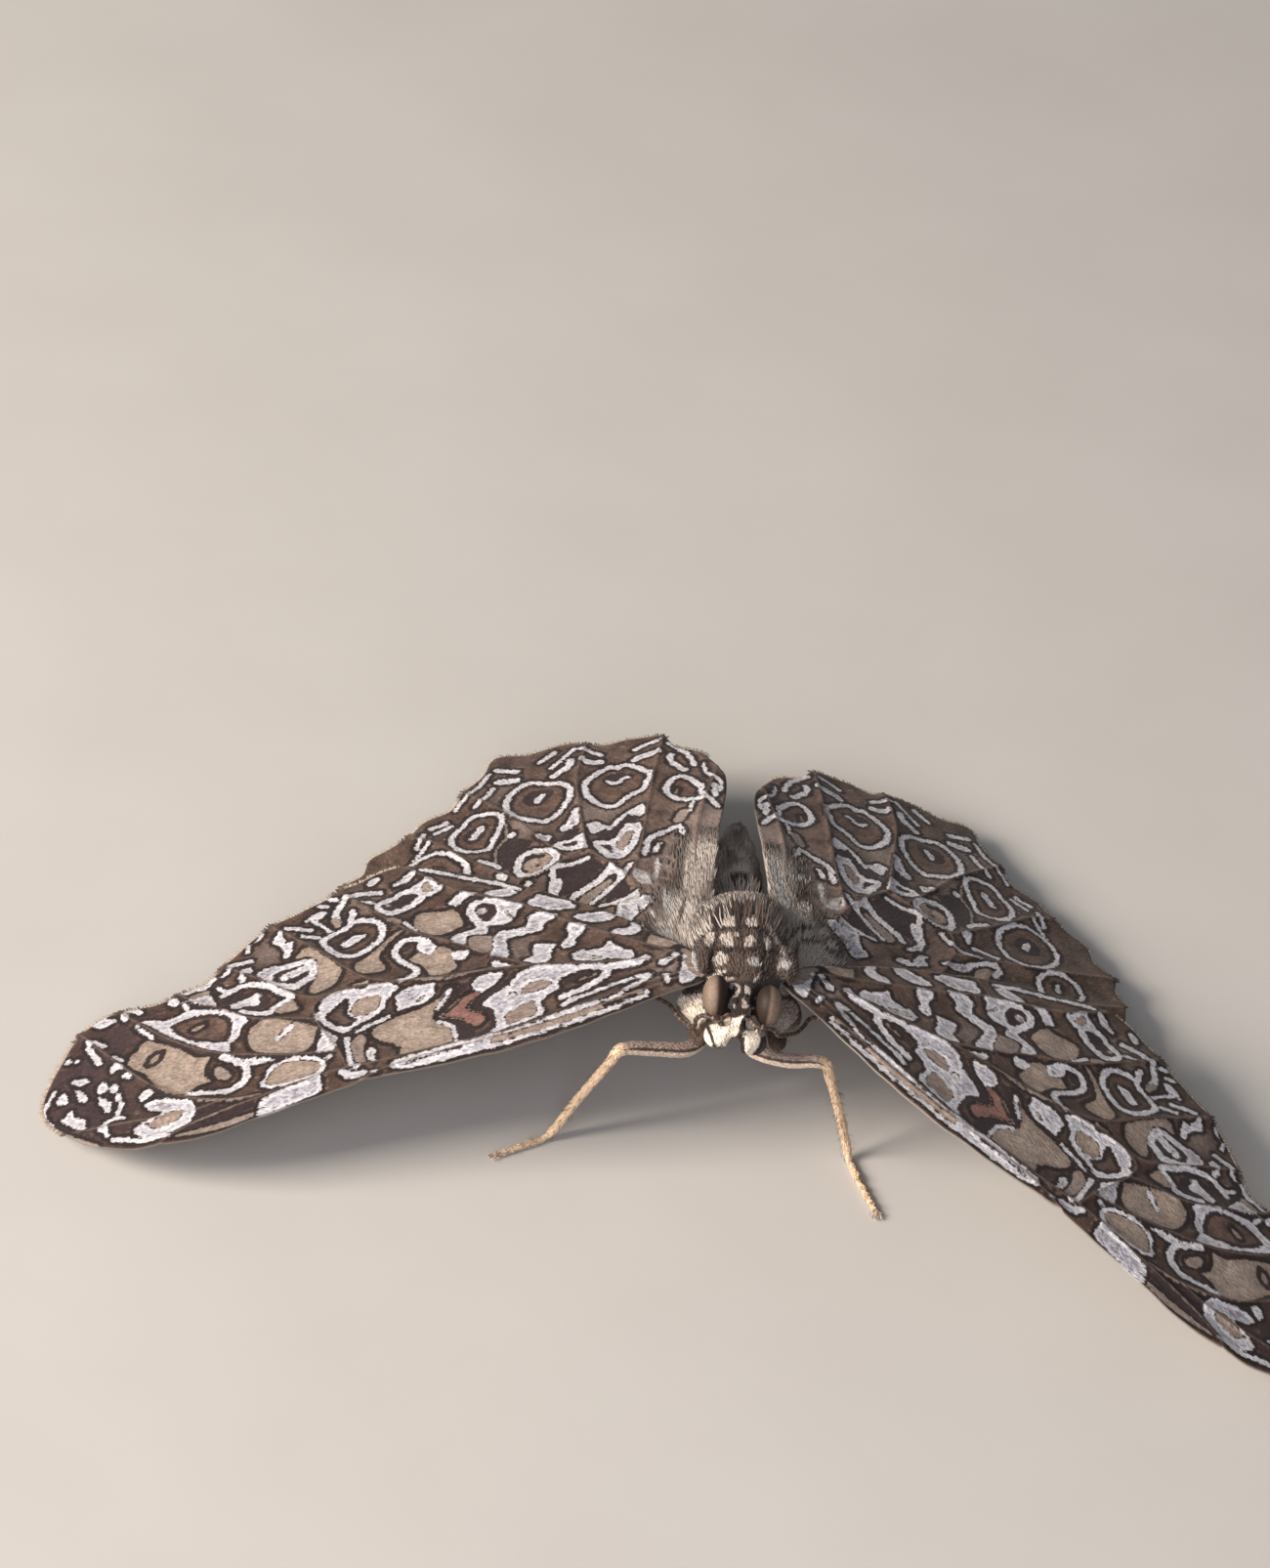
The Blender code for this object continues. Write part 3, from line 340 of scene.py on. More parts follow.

# %% [markdown]
# ## Wings: the marks
# The calico pattern is what everyone knows this butterfly by. Each mark is drawn as a short line of
# text: its finish, the width of the stroke or "-" for a filled shape, then its corners on the flat wing.
# The order is the order of painting, so a later mark covers an earlier one, and a mark of ground clears
# away what lies under it. A line that starts with a blank goes on with the mark before.

# %% The marks of the forewing
FOREWING_MARKS = """
white - 2.9 .1 3.3 .45 5 .95 7 1.4 10 1.85 13 2.1 16 2.2 17.8 2.1 18.5 1.8 18.4 1.45 17.8 1.33 16 1.27
 14 1.12 12 1.2 10 .95 8.6 .6 7.6 .35 6.5 .25 5.5 .1 4.4 -.2 4.2 .2 3.6 .1
tan .5 3.5 .1 5 .45 6.8 .85 8.6 1.2 10.6 1.5 12.4 1.6
white .22 3.2 .38 5 .86 7 1.3 10 1.74 12.6 1.98
brown .12 4.4 .05 6.6 .55 9 1 11.5 1.35
ground .15 3.8 .3 4.8 .5 5.7 .68
ground .16 13.8 1.45 15 1.6 16.5 1.7 17.8 1.87
white - 19.2 1.95 19.65 1.95 19.7 1.7 19.25 1.72
white - 19.85 1.9 20.6 1.85 21.1 1.7 21.35 1.3 21.35 1 21.05 1 20.9 1.35 20.3 1.4 19.9 1.4
white - 22.4 .95 22.5 1.5 22.6 2.1 23 2.3 24 2.4 25 2.6 26.5 2.75 26.3 2.3 26.2 1.9 25.8 1.6 25 1.4
 24.3 1.25 23.5 1.15 22.8 .95
ground .12 25.6 2.15 26.5 2.4
fawn - 26.4 2.35 26.6 2.75 28 2.9 29.5 2.85 31 2.6 32 2.4 30.6 2.4 29 2.4 28 2.35 27 2.35
dark - 26.2 2 27.5 2.3 29 2.35 30.5 2.35 31.3 2.15 30.3 2 29.3 1.9 28.3 1.6 27 1.4 26.3 1.5
tan .2 27.5 1.5 28.7 1.75 30.1 1.95
dark - 27.8 1.3 29 1.5 30 1.75 29.8 1.2 29.6 .6 28.5 1
fawn .25 26 1.2 27.3 1.1 28.4 .7 29.4 .25
white .3 31.5 2.25 33 1.95 34.5 1.15
white .32 2.6 -1.3 3.2 -.8 4.2 -.4
white .25 2.7 -1.4 4.2 -1.25 5.5 -.95 6.8 -.6
white - 6.95 -.45 7.4 -.2 8.2 0 7.9 -.4 7.3 -.7 6.95 -.75
white .4 4.9 -2.3 5.4 -1.85 6.4 -1.4 7.9 -.9
tan .2 5.6 -2.3 6.6 -2.1
dark - 5.7 -2.4 6.3 -2.65 7.2 -2.5 7.7 -2.1 7.6 -1.9 7 -2 6.5 -2.4 5.9 -2.2
white .3 .7 -2.6 1.2 -2.3 1.7 -2.1
white .3 1.75 -.4 1.7 -1
white - -.4 -2.7 .2 -3.1 .5 -1.8 1 -.7 1.1 -.2 .6 0 0 -.5 -.3 -1.6
tan - 2.3 -4.05 1.6 -3.45 1 -3.3 .6 -3.6 .25 -3.4 .15 -4 .8 -4.15 1.3 -4.5 1.7 -5.1 1.95 -4.7
tan - .5 -3 .2 -2.5 .45 -1.7 .2 -.7 -.3 -.3 -.6 -.6 -.6 -2.4 .1 -3.2
white - 2.25 -2.9 2.3 -2.55 2.8 -2.35 3.4 -2.3 4.5 -2.4 5.2 -2.5 5.7 -2.8 6.5 -2.85 7.5 -2.65 7.8 -2.4
 7.95 -2.2 7.8 -2 7.9 -1.7 8.8 -1.4 9.1 -1.1 9.2 -.5 9.15 .1 9.6 .4 10.5 .6 11.8 .9 12.85 1.05 12.6 .75
 12 .5 11.9 -.2 11.85 -.9 11.9 -1.3 12.4 -1.7 12.35 -2 11.6 -2.4 11 -2.7 10.5 -2.9 10.3 -3.3 9.8 -3.7
 9.3 -3.9 8 -3.75 7 -3.4 6 -3.1 4.9 -2.85 3.4 -2.75 2.9 -2.9 2.4 -3.1
fawn - 9.5 -.2 9.6 .2 10.6 .35 11.5 .6 11.4 -.6 10.6 -.9 10 -1.2 9.6 -1.3 9.4 -1
fawn - 8.1 -2.3 8.6 -2 9.2 -1.95 9.9 -1.9 10.1 -2.1 9.9 -2.6 9.2 -2.85 8.4 -2.75
grey - 10.4 -2.3 10.3 -1.9 10.9 -1.6 11 -1.9 10.6 -2.3
dark .4 13.2 .95 12.3 .5 12.05 -.3 12.1 -1.1 12.85 -1.75 12.3 -2.4 11.2 -2.9 10.6 -3.3 10.1 -3.8
dark - 13.4 1.2 14.4 1.2 14.3 -.7 15.2 -1.4 15.2 -1.8 14.3 -2.4 13.8 -3 13.6 -3.9 12.7 -4 12.9 -3.4
 13.6 -2.9 14.2 -2.2 13.8 -.9 13.2 .2
red - 12.4 -.4 13.1 .1 13.4 -.3 13.9 -.9 14.2 -1.3 15 -1.6 14.3 -1.9 13.8 -2.3 13.3 -2.9 12.7 -3 12 -3.1
 12.6 -2.6 13.2 -2.2 13.4 -1.8 13.3 -1.5 12.6 -1.1
tan .14 12.6 -1.15 13.2 -1.5 13.3 -1.9 12.6 -2.55
tan .14 13.7 -.9 14.3 -1.3 15.1 -1.55 14.4 -2 13.6 -2.7
white - 10.7 -4.05 11 -3.7 11.4 -3.2 12.3 -2.9 12.6 -3.1 12.6 -3.8 12.2 -4.1 11.3 -4.15
fawn .25 10 -4.4 11 -4.6 12.5 -4.55 14.2 -4.55 15.8 -5.1
white - 10 -4.3 10.6 -4.5 11.2 -4.7 11.2 -5.1 10.9 -5.2 10.5 -4.8
white - 3.1 -3.1 3.3 -3 4 -3.2 4.6 -3.5 5.2 -3.3 5.8 -3.5 6.5 -3.8 6.55 -4.3 6.3 -4.7 5.9 -4.7 5.4 -4.55
 4.7 -4.5 4.5 -4.7 4.2 -5 4 -4.5 3.6 -4 3.1 -3.7
grey - 4.8 -3.5 5.5 -3.6 6.2 -3.9 6.3 -4.4 5.6 -4.3 5.2 -4
dark .15 5 -3.75 5.4 -3.9
white - 8 -4.15 8.8 -4.2 9.35 -4.6 9.2 -4.8 8.7 -4.85 8.6 -5.6 8.55 -6.05 8.3 -6.15 7.6 -5.8 7 -5.55
 7.3 -5.5 7.6 -5.3 7.8 -4.7
white - 6.6 -5.1 7 -5.3 7 -5.6 6.7 -5.75 6.5 -6 6.3 -6.5 6.35 -6.95 6.1 -7.15 5.6 -7 5.1 -6.6 5.5 -6.4
 5.8 -6 6.1 -5.8 6.1 -5.4
white - 10.2 -5.2 10.6 -5.3 11.2 -5.8 10.9 -6.2 10.8 -7 10.5 -7.6 10.1 -7.95 9.6 -7.9 8.6 -7.75 8.4 -8.2
 8.2 -8.7 7.9 -8.85 7.2 -8.5 6.6 -8.2 7 -7.9 7.6 -7.8 7.7 -7.3 7.9 -7.2 8.5 -7.25 9.8 -7.2 10 -7.1
 10.1 -6.3 10.1 -5.6
fawn - 10.9 -6.3 11.3 -5.9 12 -6.3 12.3 -7 12.1 -7.9 11.6 -8 11 -7.8 10.6 -7.7
white - 8.4 -9.7 8.9 -9.35 9.1 -8.9 9.5 -8.55 10.3 -8.6 10.8 -8.9 10.85 -8 11.3 -8.05 12.1 -8.15 12.3 -7.3
 12.6 -7.2 13.1 -7.8 12.9 -8.3 12.2 -8.55 11.4 -8.7 11.45 -9.3 11.75 -10.1 11.6 -10.8 11.1 -11.15
 10.3 -11.1 9.5 -10.6 8.9 -10.1
dark - 9.9 -10.3 10 -9.6 10.5 -9.1 10.9 -9.2 11.2 -9.9 11.2 -10.5 10.9 -10.75 10.3 -10.7
grey .5 10.8 -10.15
grey .2 9.3 -9 9.5 -9.4 9.4 -9.7
white - 2.1 -7.2 2.2 -5.6 2.5 -5.25 3.4 -5.2 4 -5.5 3.9 -5.8 3.5 -6 3.1 -5.9 2.7 -6 2.5 -6.4 2.4 -6.9
white - 3.1 -7.4 3.6 -7.1 4.3 -7 5 -7 5.8 -7.7 5.4 -8 4.6 -8 3.8 -7.9
white - 5.3 -8.7 6.3 -8.7 6.9 -8.8 7.6 -9.3 8.1 -9.8 8 -10.2 7.5 -10.4 7.3 -10.6 6.7 -10.2 6.1 -9.8
 5.7 -9.5
white - 8.4 -11.3 9 -11 10 -11.1 10.4 -11.8 9.7 -11.8 9.2 -11.9 8.7 -11.7
white - 10.7 -11.8 11.5 -11.7 12.2 -11.1 12.6 -11.6 12.2 -11.9 11.7 -12.2
white .3 8.3 -11.6 10 -13 12.5 -14.7 13.5 -15.4
tan - 14.5 .9 15.2 .95 16.5 1.1 17.8 1.1 17.75 .6 17.6 .3 17.9 .1 17.85 -.15 18.5 -.6 18.9 -1.1 19.05 -1.5
 18.9 -1.9 18.3 -2.2 17.7 -2.4 17 -2.55 16.3 -2.6 15.7 -2.8 15.1 -3 14.5 -3.3 14.2 -3.8 13.9 -3.9
 13.8 -3.6 14.1 -3 14.8 -2.4 15.3 -1.9 15.4 -1.5 15 -1.1 14.4 -.7 14.35 .2
white .25 14.5 .95 14.4 0 14.45 -.7 15.1 -1.2
white .2 15.1 -2.2 14.5 -2.9 14 -3.6
tan .24 13.5 -3.7
white .28 20.3 1.05 20.65 .8 20.6 .2 20.55 -.8 20.4 -1.6
white .2 19.8 -1.95 18.8 -2.35 17.8 -2.65
fawn - 19.7 .9 20.3 .8 20.4 0 20.4 -1 20 -1.6 19.5 -1.7 19.3 -1.2 19.6 -.6 19.7 .2
white - 19.2 1.1 19.45 .8 19.6 .4 19.55 -.2 19.2 -.55 19.05 -.1 19 .1 19.2 .3 19.15 .6
white - 14.75 -4.3 15 -3.6 15.4 -3.25 16 -3 16.3 -3.1 17.2 -2.95 17.15 -3.3 17.1 -4.1 16.6 -4.5 16.1 -4.65
 15.3 -4.5 14.9 -4.55
grey .22 15.5 -3.7 15.9 -3.4
white - 21.2 -1 21.4 -.7 21.9 -.8 22.5 -1 22.2 -1.3 22.1 -1.8 21.85 -2.2 21.7 -2.85 21.4 -2.5 21.1 -2
 20.95 -1.9 21.1 -1.5
white .3 21.7 -.4
grey .15 21.4 -1.7 21.5 -1.2 21.8 -1.15
white - 16.8 -4.9 17.3 -4.4 17.8 -3.9 18 -3.4 18.4 -3.1 19.2 -2.75 20 -2.4 20.6 -2.2 20.9 -2.5 21.4 -3.1
 22 -3.85 21.8 -4.3 21.5 -4.5 21.6 -4.9 21.2 -5.2 20.6 -5.6 19.8 -5.55 18.8 -5.45 18 -5.5 17.3 -5.3
tan - 17.8 -4.6 18.2 -3.6 19.1 -3.15 19.7 -3.4 19.9 -3.8 19.6 -4.4 19.2 -4.8 18.4 -4.75
ground - 19.4 -3 20.3 -2.6 20.8 -2.9 21.4 -3.7 21.3 -4.1 20.8 -4.4 20.4 -4.7 20.1 -4.9 19.8 -5 19.7 -4.6
 20 -4 19.9 -3.5
white - 21.95 .1 22.3 .7 23 .9 24 1 25 .98 25.6 .8 25.85 .4 25.5 -.2 25.2 -.7 24.9 -1 24.2 -1.15 23.2 -1
 22.4 -.6 22 -.3
tan - 22.15 .1 22.5 .5 23 .7 24 .8 25 .78 25.4 .6 25.6 .3 25.3 -.2 25 -.6 24.7 -.85 24.2 -.95 23.3 -.8
 22.6 -.45 22.2 -.2
tan - 21.9 -3.1 22.1 -2.5 22.4 -1.8 22.9 -1.4 23.5 -1.3 24.3 -1.6 25 -1.9 25.6 -2.4 25.9 -2.9 26 -3.6
 25.9 -4.2 25.5 -4.8 24.8 -5 24 -4.7 23.3 -4.3 22.7 -3.9 22.2 -3.5
white .3 23.3 -3.9 24.3 -3.2
white - 24.6 -1.35 25.5 -1.45 26.5 -1.5 26.5 -2.2 26 -2 25.2 -1.7
tan - 22.6 -5.1 23.6 -5.1 24.1 -5.4 24 -5.8 23.4 -6.1 22.9 -6.2 22.7 -5.6
tan - 13.5 -5.2 14.1 -4.9 14.9 -5.1 15 -5.8 15.2 -6.4 15.6 -6.8 15.8 -7.2 15.5 -7.5 15 -7.7 14.3 -7.6
 13.7 -7.6 13.2 -7.2 13.3 -6.5 13.2 -6 13.1 -5.6
white - 14.1 -7.4 14.4 -7.2 14.9 -7.4 15.1 -7.9 15 -8.4 14.5 -8.3 14.1 -8
white - 12.6 -6.1 12.9 -6 13.3 -6.3 13.3 -6.8 12.9 -6.8 12.2 -6.6
white .35 16.6 -5.35 15.9 -5.45 15.5 -5.75 15.55 -6.2 15.9 -6.7 16.25 -7.3 16.5 -8 16.3 -8.6 15.9 -8.9
 15.4 -8.95 14.8 -8.7 14.4 -8.2
dark - 15.2 -8.2 15.6 -8.05 16.2 -7.8 16.1 -8.3 15.7 -8.5 15.4 -8.6
tan - 17.1 -7 17.3 -6.75 18 -6.65 18.7 -6.8 19 -7.2 18.9 -7.9 18.3 -8.3 17.7 -8.6 17.2 -9.1 16.6 -9.6
 15.9 -9.95 15.5 -9.9 15.9 -9.6 16.6 -9.2 17.2 -8.4 17.4 -8 17.3 -7.6
tan .35 18.5 -5.9 19.2 -5.9
tan - 19.6 -7.6 19.9 -7.1 20.4 -6.5 21 -6.2 21.6 -6.1 21.9 -6.4 21.7 -7 21.4 -7.5 21.1 -8.3 20.9 -9
 21.3 -9.6 22.3 -9.9 21.9 -10.2 21.5 -10.6 21.1 -10.3 20.7 -9.7 20.3 -9 20 -8.4
tan - 12 -9.2 12.5 -9 13.1 -8.7 13.8 -8.65 14.4 -8.9 14.9 -9.6 14.95 -10.3 14.8 -10.9 14.4 -11.3
 13.9 -11.3 13.1 -11 12.4 -11 12.1 -10.4
white .2 14.9 -9.5 15.2 -10.1 15.35 -10.6
fawn .6 15.8 -10.8 16.1 -11.1
white - 13.7 -12.9 13.9 -12.4 14.5 -12.1 15.2 -11.8 15.9 -11.55 16.5 -11.8 16.9 -12.4 16.8 -13 16.3 -13.3
 15.6 -13.5 15.2 -13.8 14.4 -13.9 13.9 -14.1 13.4 -14.5 13.1 -14.2 13 -13.6 12.6 -13.1 13.1 -12.8
 13.5 -12.6
dark - 14.1 -12.9 14.6 -12.5 15.3 -12.2 16 -12.05 16.5 -12.4 16.5 -12.8 15.9 -13 15.4 -13.3 14.9 -13.5
 14.3 -13.3
grey .3 16.05 -12.7
tan - 13.2 -13 13.7 -13.1 14 -13.4 13.8 -13.8 13.4 -14.1 13.2 -13.6
ground - 18.15 -12.9 18.2 -12.5 18.4 -11.8 18.9 -11.4 19.8 -11.2 20.4 -10.8 20.15 -10 19.9 -9.4 19.4 -8.9
 18.7 -8.75 18 -8.95 17.2 -9.5 16.75 -10.2 16.7 -10.8 17.1 -11.5 17.6 -11.8 18 -11.9
dark .3 18.35 -11.5 18.85 -11.1 19.6 -10.9 20.05 -10.6 19.8 -10 19.5 -9.5 19.2 -9.2 18.65 -9.1 18.1 -9.25
 17.5 -9.7 17.1 -10.3 17.05 -10.8 17.35 -11.3 17.8 -11.6 18.35 -11.5
white .35 18.15 -12.9 18.2 -12.5 18.4 -11.8 18.9 -11.4 19.8 -11.2 20.4 -10.8 20.15 -10 19.9 -9.4 19.4 -8.9
 18.7 -8.75 18 -8.95 17.2 -9.5 16.75 -10.2 16.7 -10.8 17.1 -11.5 17.6 -11.8 18 -11.9
white - 17.75 -10.4 18 -10.2 18.5 -10 18.9 -9.75 19.3 -9.8 19.35 -10.2 18.9 -10.4 18.5 -10.7 18.1 -10.6
white - 21 -8.9 21.1 -8.1 21.4 -7.6 22 -7.3 22.6 -6.9 23 -7.1 23.6 -7.6 24 -8.2 24.4 -8.8 24.6 -9.2
 24.3 -9.5 23.6 -9.7 22.9 -9.6 22.2 -9.6 21.5 -9.5 21.1 -9.2
dark - 21.4 -8.7 21.6 -8.1 22.1 -7.65 22.7 -7.55 23.3 -7.8 23.7 -8.2 23.7 -8.8 23.4 -9 22.9 -9.15
 22.3 -9.2 21.7 -9.1
white - 21.6 -8.8 21.8 -8.4 22.4 -8.2 22.9 -8 23.3 -8.15 23.3 -8.4 22.9 -8.7 22.4 -8.85 21.9 -9
grey .3 22.8 -8.35
dark - 24 -6.6 24.5 -6.1 25.2 -6.1 25.8 -6.4 26.4 -6.7 26.8 -7.3 27.4 -7.8 26.8 -8 25.8 -8.1 25.2 -8
 24.6 -7.6 24.1 -7.1
white .35 22.9 -6.4 23.6 -7.2 24.1 -7.9 24.7 -8.4 25.3 -8.6 26 -8.5 26.7 -8.3
white .35 23 -6.3 24 -5.9 24.4 -5.5 25.3 -5.9 25.9 -6.3
white - 24.5 -7.4 24.8 -7.1 24.8 -6.6 25.1 -6.6 25.3 -6.9 25.9 -6.7 26.4 -6.8 26.4 -7.2 25.9 -7.3
 25.3 -7.5 24.8 -7.6
white - 27.2 -7.3 27.7 -7.6 28.2 -8 28.7 -8.5 28.6 -8.7 28.1 -8.6 27.4 -8.7
tan .5 27.6 -9 28.4 -8.8
white .2 26.5 -8.4 26.9 -9.2
white - 25.6 -5.4 26.1 -5 26.4 -4.4 27 -3.9 27.1 -3.1 27.8 -3.4 28.4 -3.9 29 -4.6 29.6 -5.2 30.1 -5.8
 30.6 -6.4 30.9 -7 31.3 -7.6 31.7 -7.9 31.5 -8.05 30.9 -7.7 30.3 -7.5 29.8 -7.6 29.2 -7.75 28.8 -7.8
 28.2 -7.5 27.4 -7 26.8 -6.8 26.6 -6.4 26.2 -6.1
dark - 26.5 -5.6 26.7 -4.9 27.1 -4.2 27.6 -4.2 28.3 -4.5 29 -4.9 29.5 -5.4 29.9 -6.1 30.1 -6.6 30 -7
 29.4 -7.2 28.8 -7.3 28 -7 27.2 -6.7 26.7 -6.3
brown - 26.8 -5.6 26.95 -5 27.3 -4.5 27.7 -4.5 28.3 -4.8 28.9 -5.2 29.3 -5.6 29.6 -6.1 29.8 -6.6 29.7 -6.8
 29.2 -6.9 28.7 -6.95 28 -6.7 27.3 -6.4 27 -6.1
tan - 28 -6.3 28.2 -6 28.6 -5.8 29 -5.85 28.9 -6.1 28.5 -6.3
white .2 31.2 -6.2 31.6 -6.9 32 -7.6
white .25 28.9 -7.7 28.95 -8.5
white - 26.3 -1.8 26.2 -1.2 26.3 -.6 26.8 -.1 27.5 .25 28.5 .1 29.2 -.25 30.1 -.45 30.1 -.75 29.3 -.6
 28.6 -.3 27.8 -.15 27.1 -.4 26.7 -.8 26.55 -1.3 26.7 -1.7 27.3 -2.3 27.9 -2.8 27.5 -3 26.9 -2.5
fawn - 27.2 -1.2 27.6 -.9 28.1 -1.2 28.3 -1.7 28.1 -2.3 27.6 -2
tan - 28.3 -1.2 29.2 -1.1 29.8 -.7 30.4 -.6 31 -1 31.5 -1.6 31.8 -2.5 32.1 -3.5 32.6 -3.9 33 -4.6 32.8 -5
 32.6 -5.5 32.2 -5.6 32.1 -5.9 31.5 -6.3 31.2 -5.9 30.5 -5.3 29.9 -4.7 29.3 -3.9 28.9 -3.4 28.1 -3.2
 28.6 -2.6 28.8 -1.8
dark .25 30.75 -4.9 31 -4.3 31.5 -4 31.95 -4.1 31.7 -4.7 31.2 -5 30.75 -4.9
white - 29.9 .1 29.65 .6 29.8 1.2 30.2 1.7 30.6 1.95 31.2 1.95 32.5 2.2 33.3 1.2 33.3 .9 32.8 .7 32.2 .6
 31.4 .3 31.9 -.1 32.4 -.5 32.4 -.9 31.9 -1 31.2 -.8 30.6 -.4 30 -.1
tan - 30.3 .6 30.4 1 31.1 1.4 32 1.4 32.5 1.1 32.6 .8 31.8 .6 31.2 .3 30.7 .4
white - 31.9 -1.4 32.6 -1.2 32.6 -1.6 32.3 -2 32 -2.1
white .25 34.85 .7 34.95 .1 34.8 -.35 34.2 -.5 33.75 -.3
white .25 34.1 -.6 33.9 -1.2 33.7 -1.65
white .5 35.05 .1
white - 36 -.2 36.5 -.6 36.8 -1 37.1 -1.5 37.3 -1.9 36.9 -1.95 36.8 -2.3 36.5 -2.4 36.5 -1.9 36.2 -1.4
 35.9 -1.3 35.9 -.9
white - 34.4 -1.1 34.7 -1.3 34.7 -1.8 34.9 -2.2 34.95 -2.8 34.7 -2.6 34.4 -2.2 34.2 -2.1 34.4 -1.7
white .3 33.85 -2.1 33.85 -2.5
white .4 33.95 -3 33.95 -3.2
white - 34.4 -3.1 34.8 -3 34.95 -3.3 34.9 -3.6 34.5 -3.9 34.2 -3.6
white - 35.5 -3 35.8 -2.7 36.1 -2.9 36 -3.5 36.2 -4.2 35.9 -3.9 35.7 -3.4
white - 36.7 -3.2 37.2 -3.2 37.3 -3.5 37.1 -3.9 36.8 -4.1 36.6 -3.6
white - 35.2 -4.5 35.6 -4.2 36 -4.4 36.3 -4.8 35.9 -4.9 35.4 -4.75
white - 32.7 -3.4 33.3 -3.5 33.4 -3.9 33 -3.9
white - 33.2 -4.3 33.6 -4.5 33.95 -4.2 33.9 -4.8 33.7 -5 33.3 -4.7
white .25 33.2 -5.1 33.55 -5.6
white .3 34.5 -5.5 34.7 -6.3 34.95 -7.1
white .35 34.1 -6.9 34.4 -7.4 34.8 -7.5
white .3 35.7 -6.4
white .4 36.2 -6.6
white - 33 -8.9 33.6 -8.6 34.2 -8.7 34.5 -9 34.3 -9.4 34 -9.2 33.8 -9.6 33.5 -9.7 33.6 -9.3
white .36 32.5 -8.6 32.5 -9
white .35 31.6 -8.9 32.4 -9.6
white .15 37.8 -1.6 38.15 -2.4 38.1 -3.1 37.7 -3.8 37.3 -4.4
fawn .3 35.5 1.2 36.8 .1 37.8 -1.2
white .36 25.4 -9.1 25.4 -9.3
white .5 24.95 -9.8 25.1 -9.8
white .35 24.7 -10.75 25.9 -10.7
white - 22 -11.4 22.2 -10.6 22.5 -10.3 22.8 -10.2 22.6 -10.8 22.8 -11.4 23.2 -11.8 23 -12.2 22.6 -12.7
 22.4 -12.6 22.6 -12.1 22.4 -11.4
white .3 20.5 -11.2 21.4 -11.7
white .3 20.8 -12.2 22.2 -12.8
white .2 19.7 -11.6 20.2 -12.6 20.6 -13.1
white - 19.5 -13.5 19.9 -13.1 20.4 -13.2 21 -13.05 21 -13.3 20.5 -13.5 20.1 -13.7 19.7 -13.7
white .35 19.1 -12.3 19.2 -12.9 18.9 -13.6 18.5 -14
tan .5 19.2 -12 19.3 -12.6
white .4 16.3 -14.2 17.5 -14.35 18.3 -14.3
white .2 18.9 -14.4 19.3 -14.7
white .25 19.5 -14.1 20 -14.3
white .2 16.7 -13.1 17.4 -13.5
white - 13.8 -15.3 14 -14.9 14.6 -14.6 15.3 -14.4 15.5 -14.6 15 -14.8 14.4 -15.3
white - 16 -15.6 16.4 -15.1 16.9 -15 16.8 -15.4 16.3 -15.8
white .2 24.7 -11.7 24.6 -12.3
white .2 24.1 -12.4 23.6 -13
white - 26.8 -10.1 27.3 -9.6 27.6 -9.3 28.2 -9.4 28.9 -9.2 29.4 -9.4 28.9 -9.6 28.4 -9.8 27.7 -10.1
 27.2 -10.2
white .5 29.55 -8.8 29.65 -9
white .25 26 -10.3 26.5 -9.9
"""
print("forewing marks:", len(marks_in(FOREWING_MARKS)))

